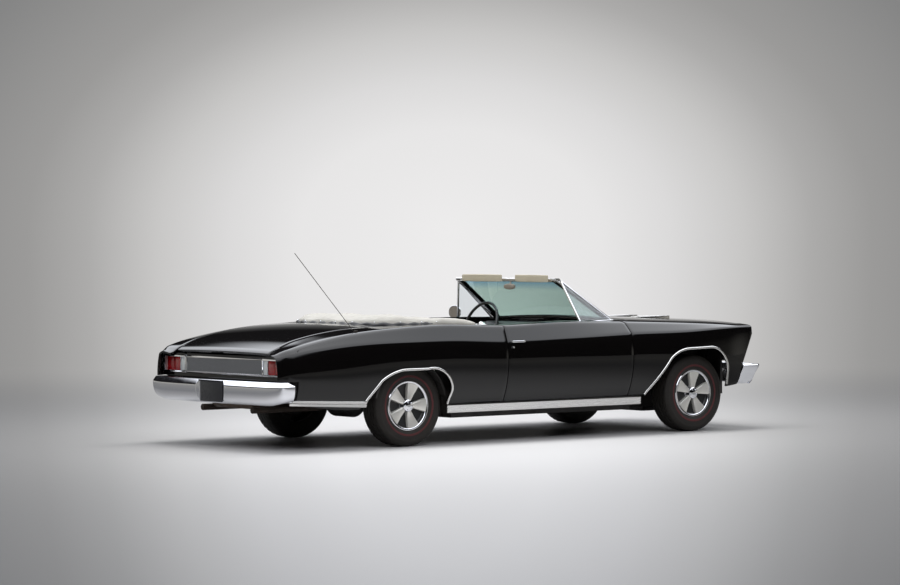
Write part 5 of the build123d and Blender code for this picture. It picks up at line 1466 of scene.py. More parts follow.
class CAR_OT_seats(bpy.types.Operator):
    """Front bucket seats and the rear bench"""

    bl_idname = "car.seats"
    bl_label = "Seats"

    def execute(self, context):
        # Profiles as (x, z) points, the front seats' above the floor and the bench's above its base
        floor, middle = 0.3105, 0.43
        cushion = self.rounded([(0.275, floor + 0.150), (0.285, floor + 0.185), (0.262, floor + 0.203),
                                (0.0, floor + 0.190), (-0.118, floor + 0.172), (-0.130, floor + 0.060),
                                (0.235, floor + 0.060)], 0.03)
        back = self.rounded([(-0.125, floor + 0.150), (-0.140, floor + 0.215), (-0.305, floor + 0.575),
                             (-0.350, floor + 0.583), (-0.362, floor + 0.530), (-0.222, floor + 0.130)], 0.03)
        for side, name in SIDES:
            for part, profile in (("cushion", cushion), ("back", back)):
                piece = seat_part("seat_%s_%s" % (part, name), profile, side * middle - 0.240,
                                  side * middle + 0.240, 6, 0.035,
                                  (0.011, 3.0, lambda co: co.z < floor + 0.08, 0.010))
                if part == "cushion" and side > 0:
                    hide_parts("front_seats")
            bm = bmesh.new()
            add_block(bm, (-0.115, side * middle - 0.19, 0.3104), (0.215, side * middle + 0.19, floor + 0.075))
            base = shaped("seat_base_" + name, bm, edge=0.006)
            dress(base, "body", "frame_paint", "chassis")
            bm = bmesh.new()
            for edge in (-1, 1):
                y = side * middle + edge * 0.247
                path = straight_frames((-0.12, y, floor + 0.10), (0.23, y, floor + 0.10), (0, 0, 1))
                sweep_section(bm, path, rounded_bar(0.010, 0.034, 0.004))
            trim = shaped("seat_side_strip_" + name, bm)
            dress(trim, "body", "bright_trim", "stainless")
        base = 0.4985
        bench = self.rounded([(-0.580, base + 0.03), (-0.582, base + 0.120), (-0.600, base + 0.142),
                              (-0.875, base + 0.126), (-0.880, base + 0.004), (-0.600, base + 0.004)], 0.025)
        rest = self.rounded([(-0.882, base + 0.118), (-0.962, base + 0.352), (-0.985, base + 0.364),
                             (-1.006, base + 0.352), (-1.006, base + 0.01), (-0.890, base + 0.01)], 0.02)
        for part, profile in (("bench", bench), ("bench_back", rest)):
            piece = seat_part("rear_" + part, profile, -0.582, 0.582, 14, 0.045,
                              (0.014, 2.6, lambda co: co.z < base + 0.02 or co.x < -0.995, 0.008))
            if part == "bench":
                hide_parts("rear_seat")
        return {"FINISHED"}

    def rounded(self, corners, radius):
        """Closed outline with its corners rounded."""
        count = len(corners)
        made = []
        for i in range(count):
            line = [corners[i - 1], corners[i], corners[(i + 1) % count]]
            made += round_corner(line, 1, radius, 5)
        dense = []
        for i, (x, z) in enumerate(made):
            x1, z1 = made[(i + 1) % len(made)]
            steps = max(1, round(math.hypot(x1 - x, z1 - z) / 0.03))
            dense += [(x + (x1 - x) * k / steps, z + (z1 - z) * k / steps) for k in range(steps)]
        return dense


class CAR_OT_screen(bpy.types.Operator):
    """Windscreen, its frame, the visors and the inside mirror"""

    bl_idname = "car.screen"
    bl_label = "Windscreen"

    def execute(self, context):
        # Pillars lean from the cowl to the header
        ends = ((0.889, 0.7325, 0.917, 0.052, 0.032), (0.402, 0.636, 1.250, 0.058, 0.028))
        corners = ((1, 1), (-1, 1), (-1, -2.6), (1, -2.6))
        bm = bmesh.new()
        for side in (1, -1):
            add_grid(bm, [[(x + a * depth / 2, side * (y + b * breadth / 2), z) for a, b in corners]
                          for x, y, z, depth, breadth in ends], loop=True, caps=True)
        pillars = shaped("screen_pillars", bm, edge=0.005, segments=3)
        dress(pillars, "body", "body_paint", "lacquer", replaces=["windshield_frame"])
        bm = bmesh.new()
        for side in (1, -1):
            for lean, width in ((0.0165, 0.016), (-0.0185, 0.012)):
                start = Vector((0.885 + lean, side * 0.7455, 0.921))
                end = Vector((0.402 + lean, side * 0.6485, 1.254))
                sweep_section(bm, straight_frames(start, end, (0, side, 0)), rounded_bar(width, 0.008, 0.0034))
        header = arc_through((-0.6495, 0.402), (0, 0.464), (0.6495, 0.402), 40)
        sweep_section(bm, level_frames(header, 1.252), rounded_bar(0.049, 0.031, 0.012, 5))
        trim = mesh_piece("screen_trim", bm)
        shade(trim, 50)
        dress(trim, "body", "bright_trim", "stainless")
        self.add_glass()
        self.add_visors()
        return {"FINISHED"}

    def add_glass(self):
        """Bowed windscreen, seated in the cowl, the pillars and the header, with a seal at its foot."""
        bm = bmesh.new()
        rows = []
        for t in shares(24):
            z = 0.930 + (1.246 - 0.930) * t
            share = (z - 0.916) / (1.252 - 0.916)
            x = 0.8985 + (0.4075 - 0.8985) * share
            half = (0.735 + (0.636 - 0.735) * share) - 0.012
            rise = 0.112 + (0.062 - 0.112) * share
            rows.append([(xx, y, z) for y, xx in arc_through((-half, x), (0, x + rise), (half, x), 48)])
        add_grid(bm, rows)
        pane = mesh_piece("windscreen", bm)
        point_out(pane, Vector((1, 0, 0.6)))
        add_wall(pane, 0.006)
        settle(pane, 60)
        dress(pane, "body", "glass", "windscreen", replaces=["windshield_glass"])
        bm = bmesh.new()
        foot = arc_through((-0.715, 0.881), (0, 0.991), (0.715, 0.881), 48)
        frames = level_frames(foot, crown(HOOD_CROWN, body_row(FRONT_AXLE)["top_y"]))
        sweep_section(bm, frames, [(-0.014, -0.008), (0.014, -0.008), (0.014, 0.001), (0.008, 0.007),
                                   (-0.008, 0.009), (-0.014, 0.006)])
        strip = shaped("screen_weatherstrip", bm, 50)
        dress(strip, "body", "frame_paint", "black_enamel_and_painted_shade")

    def add_visors(self):
        """Two padded visors and the inside mirror."""
        for side, name in SIDES:
            bm = bmesh.new()
            rows = []
            line = arc_through((-0.645, 0.374), (0, 0.432), (0.645, 0.374), 80)
            chosen = [(y, x) for y, x in line if 0.075 < side * y < 0.575]
            for i, (y, x) in enumerate(chosen):
                t = i / (len(chosen) - 1)
                edge = math.sin(math.pi * t) ** 0.25
                row = []
                for a in turns(16):
                    sx = abs(math.cos(a)) ** 0.6 * math.copysign(1, math.cos(a))
                    sz = abs(math.sin(a)) ** 0.35 * math.copysign(1, math.sin(a))
                    row.append((x - 0.009 + 0.0085 * sx * edge, y, 1.2645 + 0.030 * sz * (0.86 + 0.14 * edge)))
                rows.append(row)
            add_grid(bm, rows, loop=True, caps=True)
            piece = shaped("visor_" + name, bm, 60, fine=True)
            dress(piece, "body", "visor", "visor")
            if side > 0:
                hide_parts("header_trim")
        bm = bmesh.new()
        rows = []
        for t in shares(12):
            edge = math.sin(math.pi * (0.04 + 0.92 * t)) ** 0.3
            rows.append([(0.4315 + a, 0.136 * t - 0.068, 1.196 + b) for a, b in oval(0.0075, 0.024 * edge, 20)])
        add_grid(bm, rows, loop=True, caps=True)
        sweep_section(bm, straight_frames((0.433, 0, 1.20), (0.447, 0, 1.240), (0, 1, 0)),
                      rounded_bar(0.010, 0.012, 0.004))
        mirror = mesh_piece("inside_mirror", bm)
        shade(mirror, 40)
        dress(mirror, "body", "visor", "mirror_shell_and_painted_reflection")


# Middle of the door mirror's head, and the way it is turned
MIRROR = Vector((0.586, 0.928, 0.968))
MIRROR_FACING = Vector((math.cos(0.38), math.sin(0.38), 0))
MIRROR_RADIUS = 0.0510
PULL_HEIGHT = 0.785
# Front foot, rear foot and head of the vent window's frame
VENT_WINDOW = ((0.868, 0.776, 0.915), (0.515, 0.800, 0.915), (0.424, 0.668, 1.240))


class CAR_OT_door_trims(bpy.types.Operator):
    """Vent window frames, handles, locks, the door mirror and the door cards"""

    bl_idname = "car.door_trims"
    bl_label = "Door trims"

    def execute(self, context):
        sizes = context.scene.car_body
        for side, name in SIDES:
            front, rear, head = (Vector((x, side * y, z)) for x, y, z in VENT_WINDOW)
            bm = bmesh.new()
            for foot in (front, rear):
                post = straight_frames(foot, head, (0, side, 0.25))
                sweep_section(bm, post, rounded_bar(0.0150, 0.0135, 0.0040))
            low = straight_frames(rear + Vector((0, 0, 0.004)), front + Vector((0, 0, 0.010)), (0, 0, 1), 6)
            sweep_section(bm, low, rounded_bar(0.012, 0.014, 0.004))
            self.add_pull(bm, side, sizes)
            self.add_button(bm, side, -0.296, 0.7855, 0.0083, sizes)
            if side > 0:
                self.add_mirror(bm)
                self.add_mirror_glass()
            trim = mesh_piece("door_bright_" + name, bm)
            shade(trim, 38)
            dress(trim, "door_" + name, "chrome", "chrome", replaces=["door_trim_" + name])
            bm = bmesh.new()
            self.add_button(bm, side, -0.290, 0.742, 0.0085, sizes)
            lock = shaped("door_lock_" + name, bm, 40)
            dress(lock, "door_" + name, "chrome", "chrome")
            self.add_card(side, name)
        return {"FINISHED"}

    def add_pull(self, bm, side, sizes):
        """Bowed door handle, standing a little off the skin."""
        y0 = skin_y(-0.23, PULL_HEIGHT, sizes)
        bow = []
        for t in shares(20):
            x = -0.300 + 0.138 * t
            lift = 0.0095 * min(1.0, math.sin(math.pi * t) * 2.2)
            bow.append(Vector((x, side * (y0 - 0.004 + lift + 0.001), PULL_HEIGHT)))
        path = []
        for i, place in enumerate(bow):
            along = (bow[min(i + 1, 20)] - bow[max(i - 1, 0)]).normalized()
            path.append((place, Vector((0, 0, 1)), along.cross(Vector((0, 0, 1))).normalized()))
        sweep_section(bm, path, rounded_bar(0.0150, 0.0085, 0.0038))

    def add_button(self, bm, side, x, z, radius, sizes):
        """Round push button or lock on a door's skin."""
        turned = bmesh.ops.create_cone(bm, cap_ends=True, segments=24, radius1=radius, radius2=radius * 0.86,
                                       depth=0.014)
        bmesh.ops.transform(bm, verts=turned["verts"], matrix=Matrix.Translation(
            (x, side * (skin_y(x, z, sizes) + 0.004), z)) @ Matrix.Rotation(-side * math.pi / 2, 4, "X"))

    def add_mirror(self, bm):
        """Round mirror head and stem on the driver's door."""
        x, y = MIRROR.xy
        profile = [(-0.0095, 0.0), (-0.0095, 0.050), (-0.0100, 0.0545), (-0.0085, 0.0575), (-0.003, 0.0578),
                   (0.003, 0.052), (0.0075, 0.034), (0.0098, 0.0)]
        across = Vector((-MIRROR_FACING.y, MIRROR_FACING.x, 0))
        rows = [[MIRROR + MIRROR_FACING * a + across * (r * math.cos(turn)) + Vector((0, 0, r * math.sin(turn)))
                 for a, r in profile] for turn in turns(40)]
        add_grid(bm, rows, around=True)
        sweep_section(bm, straight_frames((x, y - 0.012, 0.868), (x, y - 0.006, 0.925), (1, 0, 0)),
                      rounded_bar(0.014, 0.012, 0.005))

    def add_mirror_glass(self):
        """Glass of the door mirror, a matte warm grey that paints the reflection of the pale seats: painted
        reflection.
        """
        bm = bmesh.new()
        made = bmesh.ops.create_cone(bm, cap_ends=True, segments=40, depth=0.002,
                                     radius1=MIRROR_RADIUS, radius2=MIRROR_RADIUS)
        turn = MIRROR_FACING.to_track_quat("Z", "Y").to_matrix().to_4x4()
        place = Matrix.Translation(MIRROR - MIRROR_FACING * 0.0104)
        bmesh.ops.transform(bm, verts=made["verts"], matrix=place @ turn)
        glass = shaped("door_mirror_glass", bm)
        # The glass is matte warm grey, a painted reflection of the pale seats
        dress(glass, "door_left", "chrome", "mirror_shell_and_painted_reflection")

    def add_card(self, side, name):
        """Padded card on a door's inner face, with two bright strips."""
        y = side * (DOOR_INNER - 0.0002)
        bm = bmesh.new()
        rows = []
        for t in shares(30):
            x = DOOR_REAR + 0.03 + (CARD_FRONT - DOOR_REAR - 0.03) * t
            rows.append([(x, y - side * d, z) for z, d in (
                (0.345, 0.0), (0.350, 0.0035), (0.42, 0.0045), (0.60, 0.005), (0.64, 0.0055), (0.80, 0.0055),
                (0.862, 0.0045), (0.868, 0.0))])
        add_grid(bm, rows, loop=True, caps=True)
        card = shaped("door_card_" + name, bm, 40)
        dress(card, "door_" + name, "seat_vinyl", "seat")
        bm = bmesh.new()
        for z in (0.618, 0.800):
            rear = (DOOR_REAR + 0.04, y - side * 0.004, z)
            front = (CARD_FRONT - 0.01, y - side * 0.004, z)
            sweep_section(bm, straight_frames(rear, front, (0, -side, 0)), rounded_bar(0.008, 0.004, 0.0018))
        strips = shaped("door_card_strips_" + name, bm)
        dress(strips, "door_" + name, "bright_trim", "stainless")


class CAR_OT_hood_vents(bpy.types.Operator):
    """Ribbed vents on the hood"""

    bl_idname = "car.hood_vents"
    bl_label = "Hood vents"

    def execute(self, context):
        half = body_row(FRONT_AXLE)["top_y"] - SHUT_GAP
        pieces = []
        beds = bmesh.new()
        x0, x1, middle = 1.606, 1.934, 0.205
        base = crown(HOOD_CROWN, half)(1.77, middle)
        for side in (1, -1):
            bm = bmesh.new()
            y0, y1 = side * middle - 0.061, side * middle + 0.061
            for a in ((x0, y0, x1, y0 + 0.010), (x0, y1 - 0.010, x1, y1),
                      (x0, y0 + 0.010, x0 + 0.012, y1 - 0.010), (x1 - 0.012, y0 + 0.010, x1, y1 - 0.010)):
                add_block(bm, (a[0], a[1], base - 0.012), (a[2], a[3], base + 0.013))
            pieces.append(shaped("vent_frame", bm, edge=0.003))
            pieces.append(row_of_ribs(
                "vent_fins", 10, (x0 + 0.030, side * middle, base + 0.0045), (0.0298, 0, 0),
                (0.009, 0.104, 0.014), "stainless", (0, math.radians(-24), 0)))
            add_block(beds, (x0 + 0.006, y0 + 0.005, base - 0.012), (x1 - 0.006, y1 - 0.005, base + 0.0035))
        piece = join_pieces("vents_bright", pieces)
        shade(piece, 30)
        dress(piece, "hood", "bright_trim", "stainless", replaces=["hood_vents"])
        dress(shaped("vent_beds", beds), "hood", "frame_paint", "chassis")
        return {"FINISHED"}


# Headlamps' places across the nose, and their height
LAMPS = (0.642, 0.792)
LAMP_HEIGHT = 0.69


class CAR_OT_front(bpy.types.Operator):
    """Grille bars, lamp bezels and headlamps"""

    bl_idname = "car.front"
    bl_label = "Front end"

    def execute(self, context):
        lean = NOSE_LEAN / (NOSE_BREAK - TAIL_BOTTOM)

        def face(z):
            return NOSE - 0.018 - (NOSE_BREAK - z) * lean

        pieces = []
        for y0, y1 in ((-0.559, -0.024), (0.024, 0.559)):
            bm = bmesh.new()
            for z0, z1 in ((0.567, 0.580), (0.776, 0.789)):
                self.add_lean(bm, face, y0, y1, z0, z1, 0.0, 0.05)
            for a, b in ((y0, y0 + 0.013), (y1 - 0.013, y1)):
                self.add_lean(bm, face, a, b, 0.580, 0.776, 0.0, 0.05)
            pieces.append(shaped("grille_frame", bm, edge=0.003))
        piece = join_pieces("grille_frames", pieces)
        dress(piece, "body", "bright_trim", "stainless", replaces=["grille"])
        bm = bmesh.new()
        self.add_lean(bm, face, -0.024, 0.024, 0.568, 0.788, 0.006, 0.06)
        self.add_lean(bm, face, -0.545, 0.545, 0.570, 0.786, 0.050, 0.055)
        back = shaped("grille_back", bm)
        dress(back, "body", "grille", "grille_black")
        bars = row_of_ribs("grille_bars", 15, (face(0.588) - 0.022, 0, 0.588), (lean * 0.0125, 0, 0.0125),
                           (0.026, 1.098, 0.0036), "grille_black", (0, -0.2 * math.atan(lean), 0))
        dress(bars, "body", "grille", "grille_black")
        # Rings, lenses and dishes of the lamps, as (forward, radius) profiles
        turned = (
            ("rings", 40, "bright_trim", "chrome", [
                (-0.045, 0.0715), (0.010, 0.0735), (0.018, 0.0722), (0.019, 0.0690), (0.010, 0.0655),
                (-0.012, 0.0635), (-0.045, 0.0630)]),
            ("lenses", 50, "lamp_glass", "lamp_glass", [
                (0.012, 0.0), (0.0105, 0.02), (0.006, 0.04), (-0.002, 0.055), (-0.011, 0.0630),
                (-0.016, 0.0630), (-0.007, 0.054), (0.001, 0.039), (0.0055, 0.02), (0.007, 0.0)]),
            ("dishes", 50, "bright_trim", "chrome", [
                (-0.018, 0.0625), (-0.030, 0.050), (-0.040, 0.030), (-0.045, 0.0), (-0.050, 0.0),
                (-0.045, 0.031), (-0.035, 0.052), (-0.022, 0.0628)]),
        )
        for side, name in SIDES:
            bm = bmesh.new()
            a, b = sorted((side * 0.5605, side * 0.8615))
            self.add_lean(bm, face, a, b, 0.567, 0.789, 0.0, 0.030)
            plate = mesh_piece("lamp_plate_" + name, bm)
            holes = []
            for y in LAMPS:
                hole = bmesh.new()
                tube = bmesh.ops.create_cone(hole, cap_ends=True, segments=48, radius1=0.072, radius2=0.072,
                                             depth=0.4)
                bmesh.ops.transform(hole, verts=tube["verts"], matrix=Matrix.Translation(
                    (face(LAMP_HEIGHT), side * y, LAMP_HEIGHT)) @ Matrix.Rotation(math.pi / 2, 4, "Y"))
                holes.append(mesh_piece("cutter", hole))
            cut(plate, holes)
            bevel(plate, 0.002)
            settle(plate)
            dress(plate, "body", "bright_trim", "cover_grey")
            for part, angle, slot, finish, profile in turned:
                bm = bmesh.new()
                for y in LAMPS:
                    add_turned(bm, (face(LAMP_HEIGHT), side * y, LAMP_HEIGHT), profile, 48)
                made = shaped("lamp_%s_%s" % (part, name), bm, angle)
                dress(made, "body", slot, finish)
        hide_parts("lamp_housings")
        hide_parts("headlamps")
        return {"FINISHED"}

    def add_lean(self, bm, face, y0, y1, z0, z1, setback, depth):
        """Block whose front leans with the nose."""
        x0, x1 = face(z0) - setback, face(z1) - setback
        extrude_outline(bm, [(x0 - depth, z0), (x0, z0), (x1, z1), (x1 - depth, z1)], y0, y1)


DASH_HALF = 0.737
COLUMN_TILT = math.radians(22)
WHEEL_CENTRE = (0.430, 0.385, 0.870)
RIM_RADIUS = 0.203


class CAR_OT_cabin(bpy.types.Operator):
    """Dashboard and steering wheel"""

    bl_idname = "car.cabin"
    bl_label = "Cabin"

    def execute(self, context):
        self.add_dash()
        self.add_steering_wheel()
        return {"FINISHED"}

    def add_dash(self):
        """Padded dash with two bright strips and three dial rings."""
        profile = [(0.949, 0.894), (0.77, 0.8955), (0.735, 0.888), (0.716, 0.868), (0.707, 0.842),
                   (0.712, 0.818), (0.730, 0.806), (0.742, 0.800), (0.738, 0.730), (0.728, 0.700),
                   (0.735, 0.691), (0.949, 0.691)]
        bm = bmesh.new()
        rows = [[(x, y, z) for x, z in profile] for y in steps_between(-DASH_HALF, DASH_HALF, 0.05)]
        add_grid(bm, rows, loop=True, caps=True)
        piece = shaped("dash_pad", bm, 40, edge=0.006, segments=3)
        dress(piece, "body", "dash", "dash", replaces=["dash"])
        bm = bmesh.new()
        for z in (0.797, 0.712):
            sweep_section(bm, straight_frames((0.737, -0.70, z), (0.737, 0.70, z), (-1, 0, 0)),
                          rounded_bar(0.007, 0.005, 0.002))
        ring = [(0, 0.048), (-0.012, 0.046), (-0.012, 0.041), (-0.002, 0.041)]
        for y in (0.26, 0.385, 0.51):
            add_turned(bm, (0.741, y, 0.755), ring, 36)
        trim = shaped("dash_bright", bm, 40)
        dress(trim, "body", "bright_trim", "chrome")

    def add_steering_wheel(self):
        """Column, thin rim with finger grips, three spokes and the hub."""
        axis = Vector((-math.cos(COLUMN_TILT), 0, math.sin(COLUMN_TILT)))
        across = Vector((0, 1, 0))
        down = axis.cross(across).normalized()
        centre = Vector(WHEEL_CENTRE)
        bm = bmesh.new()
        sweep_section(bm, straight_frames(centre - axis * 0.034, centre - axis * 0.30, (0, 1, 0)),
                      rounded_bar(0.052, 0.052, 0.025, 6))
        column = shaped("steering_column", bm, 50)
        dress(column, "body", "dash", "black_enamel_and_painted_shade")
        bm = bmesh.new()
        # Every third frame is a little wider, as finger grips round the rim
        path = []
        for i, turn in enumerate(turns(72)):
            out = across * math.cos(turn) + down * math.sin(turn)
            path.append((centre + out * RIM_RADIUS, out * (1.048 if i % 3 == 0 else 1.0), axis))
        sweep_section(bm, path, oval(0.0115, 0.0125, 14), around=True)
        rim = shaped("wheel_rim", bm, 50)
        dress(rim, "steering_wheel", "wheel_rim", "hard_rim", replaces=["steering_wheel"])
        bm = bmesh.new()
        up = -down if down.z > 0 else down
        for way in (across, -across, up):
            way = way.normalized()
            other = axis.cross(way).normalized()
            rows = []
            for t in shares(8):
                r = 0.032 + 0.162 * t
                w = 0.014 - 0.004 * math.sin(math.pi * t)
                lift = 0.012 * (1 - t) - 0.004
                rows.append([centre + way * r + other * (a * w) + axis * (lift + b) for a, b in (
                    (-1, -0.002), (-1, 0.001), (-0.6, 0.002), (0.6, 0.002), (1, 0.001), (1, -0.002))])
            add_grid(bm, rows, loop=True, caps=True)
        hub = [(-0.030, 0.026), (-0.020, 0.038), (0.0045, 0.038), (0.0105, 0.032), (0.0125, 0.018),
               (0.0125, 0.0), (-0.030, 0.0)]
        rows = [[centre + (across * math.cos(turn) + down * math.sin(turn)) * r + axis * h
                 for h, r in hub] for turn in turns(40)]
        add_grid(bm, rows, loop=True, around=True)
        spokes = shaped("wheel_spokes", bm, 40)
        dress(spokes, "steering_wheel", "bright_trim", "stainless")


# Where the photograph was taken from, and the level way it looks
EYE = (-16.2525, -20.861, 1.639)
YAW, PITCH, ROLL = (math.radians(a) for a in (52.39, -1.05, -0.278))
SIGHT = (math.cos(YAW), math.sin(YAW), 0.0)


class CAR_OT_stage(bpy.types.Operator):
    """Floor, background, lights and camera"""

    bl_idname = "car.stage"
    bl_label = "Stage"

    def execute(self, context):
        scene = context.scene
        sizes = scene.car_stage
        scene.view_settings.view_transform = "Standard"
        self.add_floor()
        self.add_world(scene)
        panels = (
            ("overhead", (0.3, 0.0, 7.0), (0.3, 0, 0), (8.0, 3.0), sizes.key),
            ("near side", (-5.0, -9.0, 7.5), (-0.5, 0, 0.3), (9.0, 2.0), sizes.fill),
        )
        for name, place, target, (wide, high), power in panels:
            light = bpy.data.lights.new(name, "AREA")
            light.shape = "RECTANGLE"
            light.size = wide
            light.size_y = high
            light.energy = power
            lamp = bpy.data.objects.new(name, light)
            lamp.location = place
            look = Vector(target) - Vector(place)
            lamp.rotation_euler = look.to_track_quat("-Z", "Y").to_euler()
            lamp.visible_glossy = False
            scene.collection.objects.link(lamp)
        camera = bpy.data.cameras.new("camera")
        camera.lens = sizes.lens
        camera.sensor_width = 36
        camera.clip_end = 900
        eye = bpy.data.objects.new("camera", camera)
        look = Vector((math.cos(PITCH) * math.cos(YAW), math.cos(PITCH) * math.sin(YAW), math.sin(PITCH)))
        turn = look.to_track_quat("-Z", "Y").to_matrix().to_4x4() @ Matrix.Rotation(ROLL, 4, "Z")
        eye.matrix_world = Matrix.Translation(EYE) @ turn
        scene.collection.objects.link(eye)
        scene.camera = eye
        return {"FINISHED"}

    def fall_off(self, tree, way, height, edge):
        """Light fall-off around the line of sight: pale near it, greyer away from it. In the world it is the
        room's light; on the floor it is painted light.

        way is a unit direction from the eye, height is how much its rise counts, and edge is
        the tone far to the side. Returns the tone and how far from the line it is.
        """
        apart = add_node(tree, "ShaderNodeVectorMath", {"operation": "SUBTRACT"}, {1: SIGHT}, {0: way})
        scaled = add_node(tree, "ShaderNodeVectorMath", {"operation": "MULTIPLY"}, {1: (1, 1, height)},
                          {0: apart.outputs[0]})
        span = add_node(tree, "ShaderNodeVectorMath", {"operation": "LENGTH"}, links={0: scaled.outputs[0]})
        share = add_node(tree, "ShaderNodeMapRange", values={"From Min": 0.0, "From Max": 0.4},
                         links={"Value": span.outputs["Value"]})
        stops = ((0.0, "#EDECEC"), (0.115, "#E7E6E6"), (0.168, "#DBDADA"), (0.222, "#C8C7C6"),
                 (0.275, "#ACABAA"), (0.32, "#9B9A99"), (0.42, "#858585"), (1.0, edge))
        return self.ramp(tree, share.outputs["Result"], stops).outputs["Color"], share.outputs["Result"]

    def ramp(self, tree, source, stops):
        """Colour ramp through (place, colour) stops."""
        node = add_node(tree, "ShaderNodeValToRGB", links={"Fac": source})
        band = node.color_ramp
        band.elements[0].position = stops[0][0]
        band.elements[0].color = linear(stops[0][1])
        band.elements[1].position = stops[-1][0]
        band.elements[1].color = linear(stops[-1][1])
        for position, code in stops[1:-1]:
            band.elements.new(position).color = linear(code)
        return node

    def add_floor(self):
        """Floor with the room's light fall-off painted into its colour, and a painted glow far off that meets
        its far wall without a line.
        """
        bm = bmesh.new()
        bmesh.ops.create_grid(bm, x_segments=1, y_segments=1, size=400)
        floor = mesh_piece("floor", bm)
        material, tree, shader = new_material("pale floor with painted light fall-off", {
            "Roughness": 1.0, "Specular IOR Level": 0.0})
        place = add_node(tree, "ShaderNodeTexCoord")
        from_eye = add_node(tree, "ShaderNodeVectorMath", {"operation": "SUBTRACT"}, {1: EYE},
                            {0: place.outputs["Object"]})
        way = add_node(tree, "ShaderNodeVectorMath", {"operation": "NORMALIZE"}, links={0: from_eye.outputs[0]})
        # Painted light: the floor's colour is pale near the line of sight and greyer away from it
        tone, _ = self.fall_off(tree, way.outputs[0], 0.45, "#C9C6BE")
        tree.links.new(tone, shader.inputs["Base Color"])
        wax = add_node(tree, "ShaderNodeBsdfAnisotropic", values={"Roughness": 0.2})
        waxed = add_node(tree, "ShaderNodeMixShader", values={0: 0.07}, links={
            1: shader.outputs["BSDF"], 2: wax.outputs["BSDF"]})
        depth = add_node(tree, "ShaderNodeVectorMath", {"operation": "DOT_PRODUCT"}, {1: SIGHT},
                         {0: from_eye.outputs[0]})
        far = add_node(tree, "ShaderNodeMapRange", {"interpolation_type": "SMOOTHSTEP"}, {
            "From Min": 28.5, "From Max": 40.0}, {"Value": depth.outputs["Value"]})
        # Far off the floor glows in the same tone: painted light, not a lamp
        glow = add_node(tree, "ShaderNodeEmission", links={"Color": tone})
        blend = add_node(tree, "ShaderNodeMixShader", links={
            0: far.outputs["Result"], 1: waxed.outputs["Shader"], 2: glow.outputs["Emission"]})
        tree.links.new(blend.outputs["Shader"], tree.nodes["Material Output"].inputs["Surface"])
        floor.data.materials.append(material)

    def add_world(self, scene):
        """Studio room: pale wall behind the car, dark low down elsewhere, a bright ceiling."""
        world = bpy.data.worlds.new("pale studio")
        scene.world = world
        world.use_nodes = True
        tree = world.node_tree
        back = tree.nodes["Background"]
        place = add_node(tree, "ShaderNodeTexCoord")
        way = place.outputs["Generated"]
        tone, share = self.fall_off(tree, way, 1.45, "#2C2C2D")
        split = add_node(tree, "ShaderNodeSeparateXYZ", links={"Vector": way})
        front = self.ramp(tree, split.outputs["Z"], (
            (0.0, "#E2DFD6"), (0.08, "#C9C6BE"), (0.15, "#3E3D3D"), (0.22, "#161617"), (0.40, "#1E1E20"),
            (0.46, "#E9ECF2"), (1.0, "#F4F6FA")))
        behind = self.ramp(tree, split.outputs["Z"], (
            (0.0, "#121212"), (0.30, "#151516"), (0.40, "#222326"), (0.46, "#E9ECF2"), (1.0, "#F4F6FA")))
        side = add_node(tree, "ShaderNodeVectorMath", {"operation": "DOT_PRODUCT"}, {1: SIGHT}, {0: way})
        turn = add_node(tree, "ShaderNodeMapRange", values={"From Min": -0.15, "From Max": 0.15},
                        links={"Value": side.outputs["Value"]})
        room = add_node(tree, "ShaderNodeMix", {"data_type": "RGBA"}, links={"Factor": turn.outputs["Result"]})
        tree.links.new(behind.outputs["Color"], room.inputs[MIX_A])
        tree.links.new(front.outputs["Color"], room.inputs[MIX_B])
        near = add_node(tree, "ShaderNodeMapRange", values={"From Min": 0.42, "From Max": 0.85},
                        links={"Value": share})
        both = add_node(tree, "ShaderNodeMix", {"data_type": "RGBA"}, links={"Factor": near.outputs["Result"]})
        tree.links.new(tone, both.inputs[MIX_A])
        tree.links.new(room.outputs[MIX_RESULT], both.inputs[MIX_B])
        tree.links.new(both.outputs[MIX_RESULT], back.inputs["Color"])
        ceiling = add_node(tree, "ShaderNodeMapRange", values={
            "From Min": 0.40, "From Max": 0.48, "To Min": 1.0, "To Max": 3.2},
            links={"Value": split.outputs["Z"]})
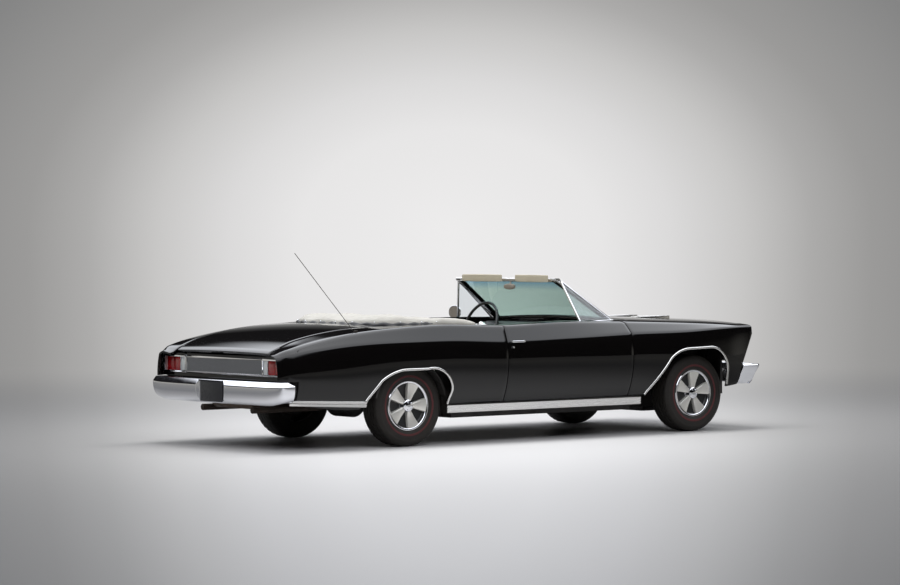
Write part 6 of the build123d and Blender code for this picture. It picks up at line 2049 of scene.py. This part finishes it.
        # Diffuse rays see a dimmer room, so that the panels cast the shadows
        rays = add_node(tree, "ShaderNodeLightPath")
        dim = add_node(tree, "ShaderNodeMapRange", values={"To Min": 1.0, "To Max": 0.13},
                       links={"Value": rays.outputs["Is Diffuse Ray"]})
        power = add_node(tree, "ShaderNodeMath", {"operation": "MULTIPLY"}, links={
            0: ceiling.outputs["Result"], 1: dim.outputs["Result"]})
        tree.links.new(power.outputs["Value"], back.inputs["Strength"])


class CAR_PT_panel(bpy.types.Panel):
    """Lists the car's pieces in the sidebar"""

    bl_label = "Convertible"
    bl_idname = "CAR_PT_panel"
    bl_space_type = "VIEW_3D"
    bl_region_type = "UI"
    bl_category = "Convertible"

    def draw(self, context):
        for name in STEPS:
            self.layout.operator("car." + name)
        for group in ("car_body", "car_wheels", "car_paint", "car_stage"):
            for prop in getattr(context.scene, group).bl_rna.properties:
                if not prop.is_readonly and prop.identifier != "name":
                    self.layout.prop(getattr(context.scene, group), prop.identifier)


STEPS = (
    "carried_over", "body_sides", "doors", "top_panels", "wheels", "tyres", "bumpers", "tail",
    "mouldings", "boot", "seats", "screen", "door_trims", "hood_vents", "front", "cabin", "stage",
)
CLASSES = (
    CarBodySizes, CarWheelSizes, CarPaintColours, CarStageSizes,
    CAR_OT_carried_over, CAR_OT_body_sides, CAR_OT_doors, CAR_OT_top_panels,
    CAR_OT_wheels, CAR_OT_tyres, CAR_OT_bumpers, CAR_OT_tail, CAR_OT_mouldings, CAR_OT_boot,
    CAR_OT_seats, CAR_OT_screen, CAR_OT_door_trims, CAR_OT_hood_vents, CAR_OT_front, CAR_OT_cabin,
    CAR_OT_stage, CAR_PT_panel,
)


def register():
    for cls in CLASSES:
        bpy.utils.register_class(cls)
    bpy.types.Scene.car_body = PointerProperty(type=CarBodySizes)
    bpy.types.Scene.car_wheels = PointerProperty(type=CarWheelSizes)
    bpy.types.Scene.car_paint = PointerProperty(type=CarPaintColours)
    bpy.types.Scene.car_stage = PointerProperty(type=CarStageSizes)


def unregister():
    del bpy.types.Scene.car_stage
    del bpy.types.Scene.car_paint
    del bpy.types.Scene.car_wheels
    del bpy.types.Scene.car_body
    for cls in reversed(CLASSES):
        bpy.utils.unregister_class(cls)


def main():
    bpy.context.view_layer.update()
    register()
    for name in STEPS:
        getattr(bpy.ops.car, name)()


if __name__ == "__main__":
    main()
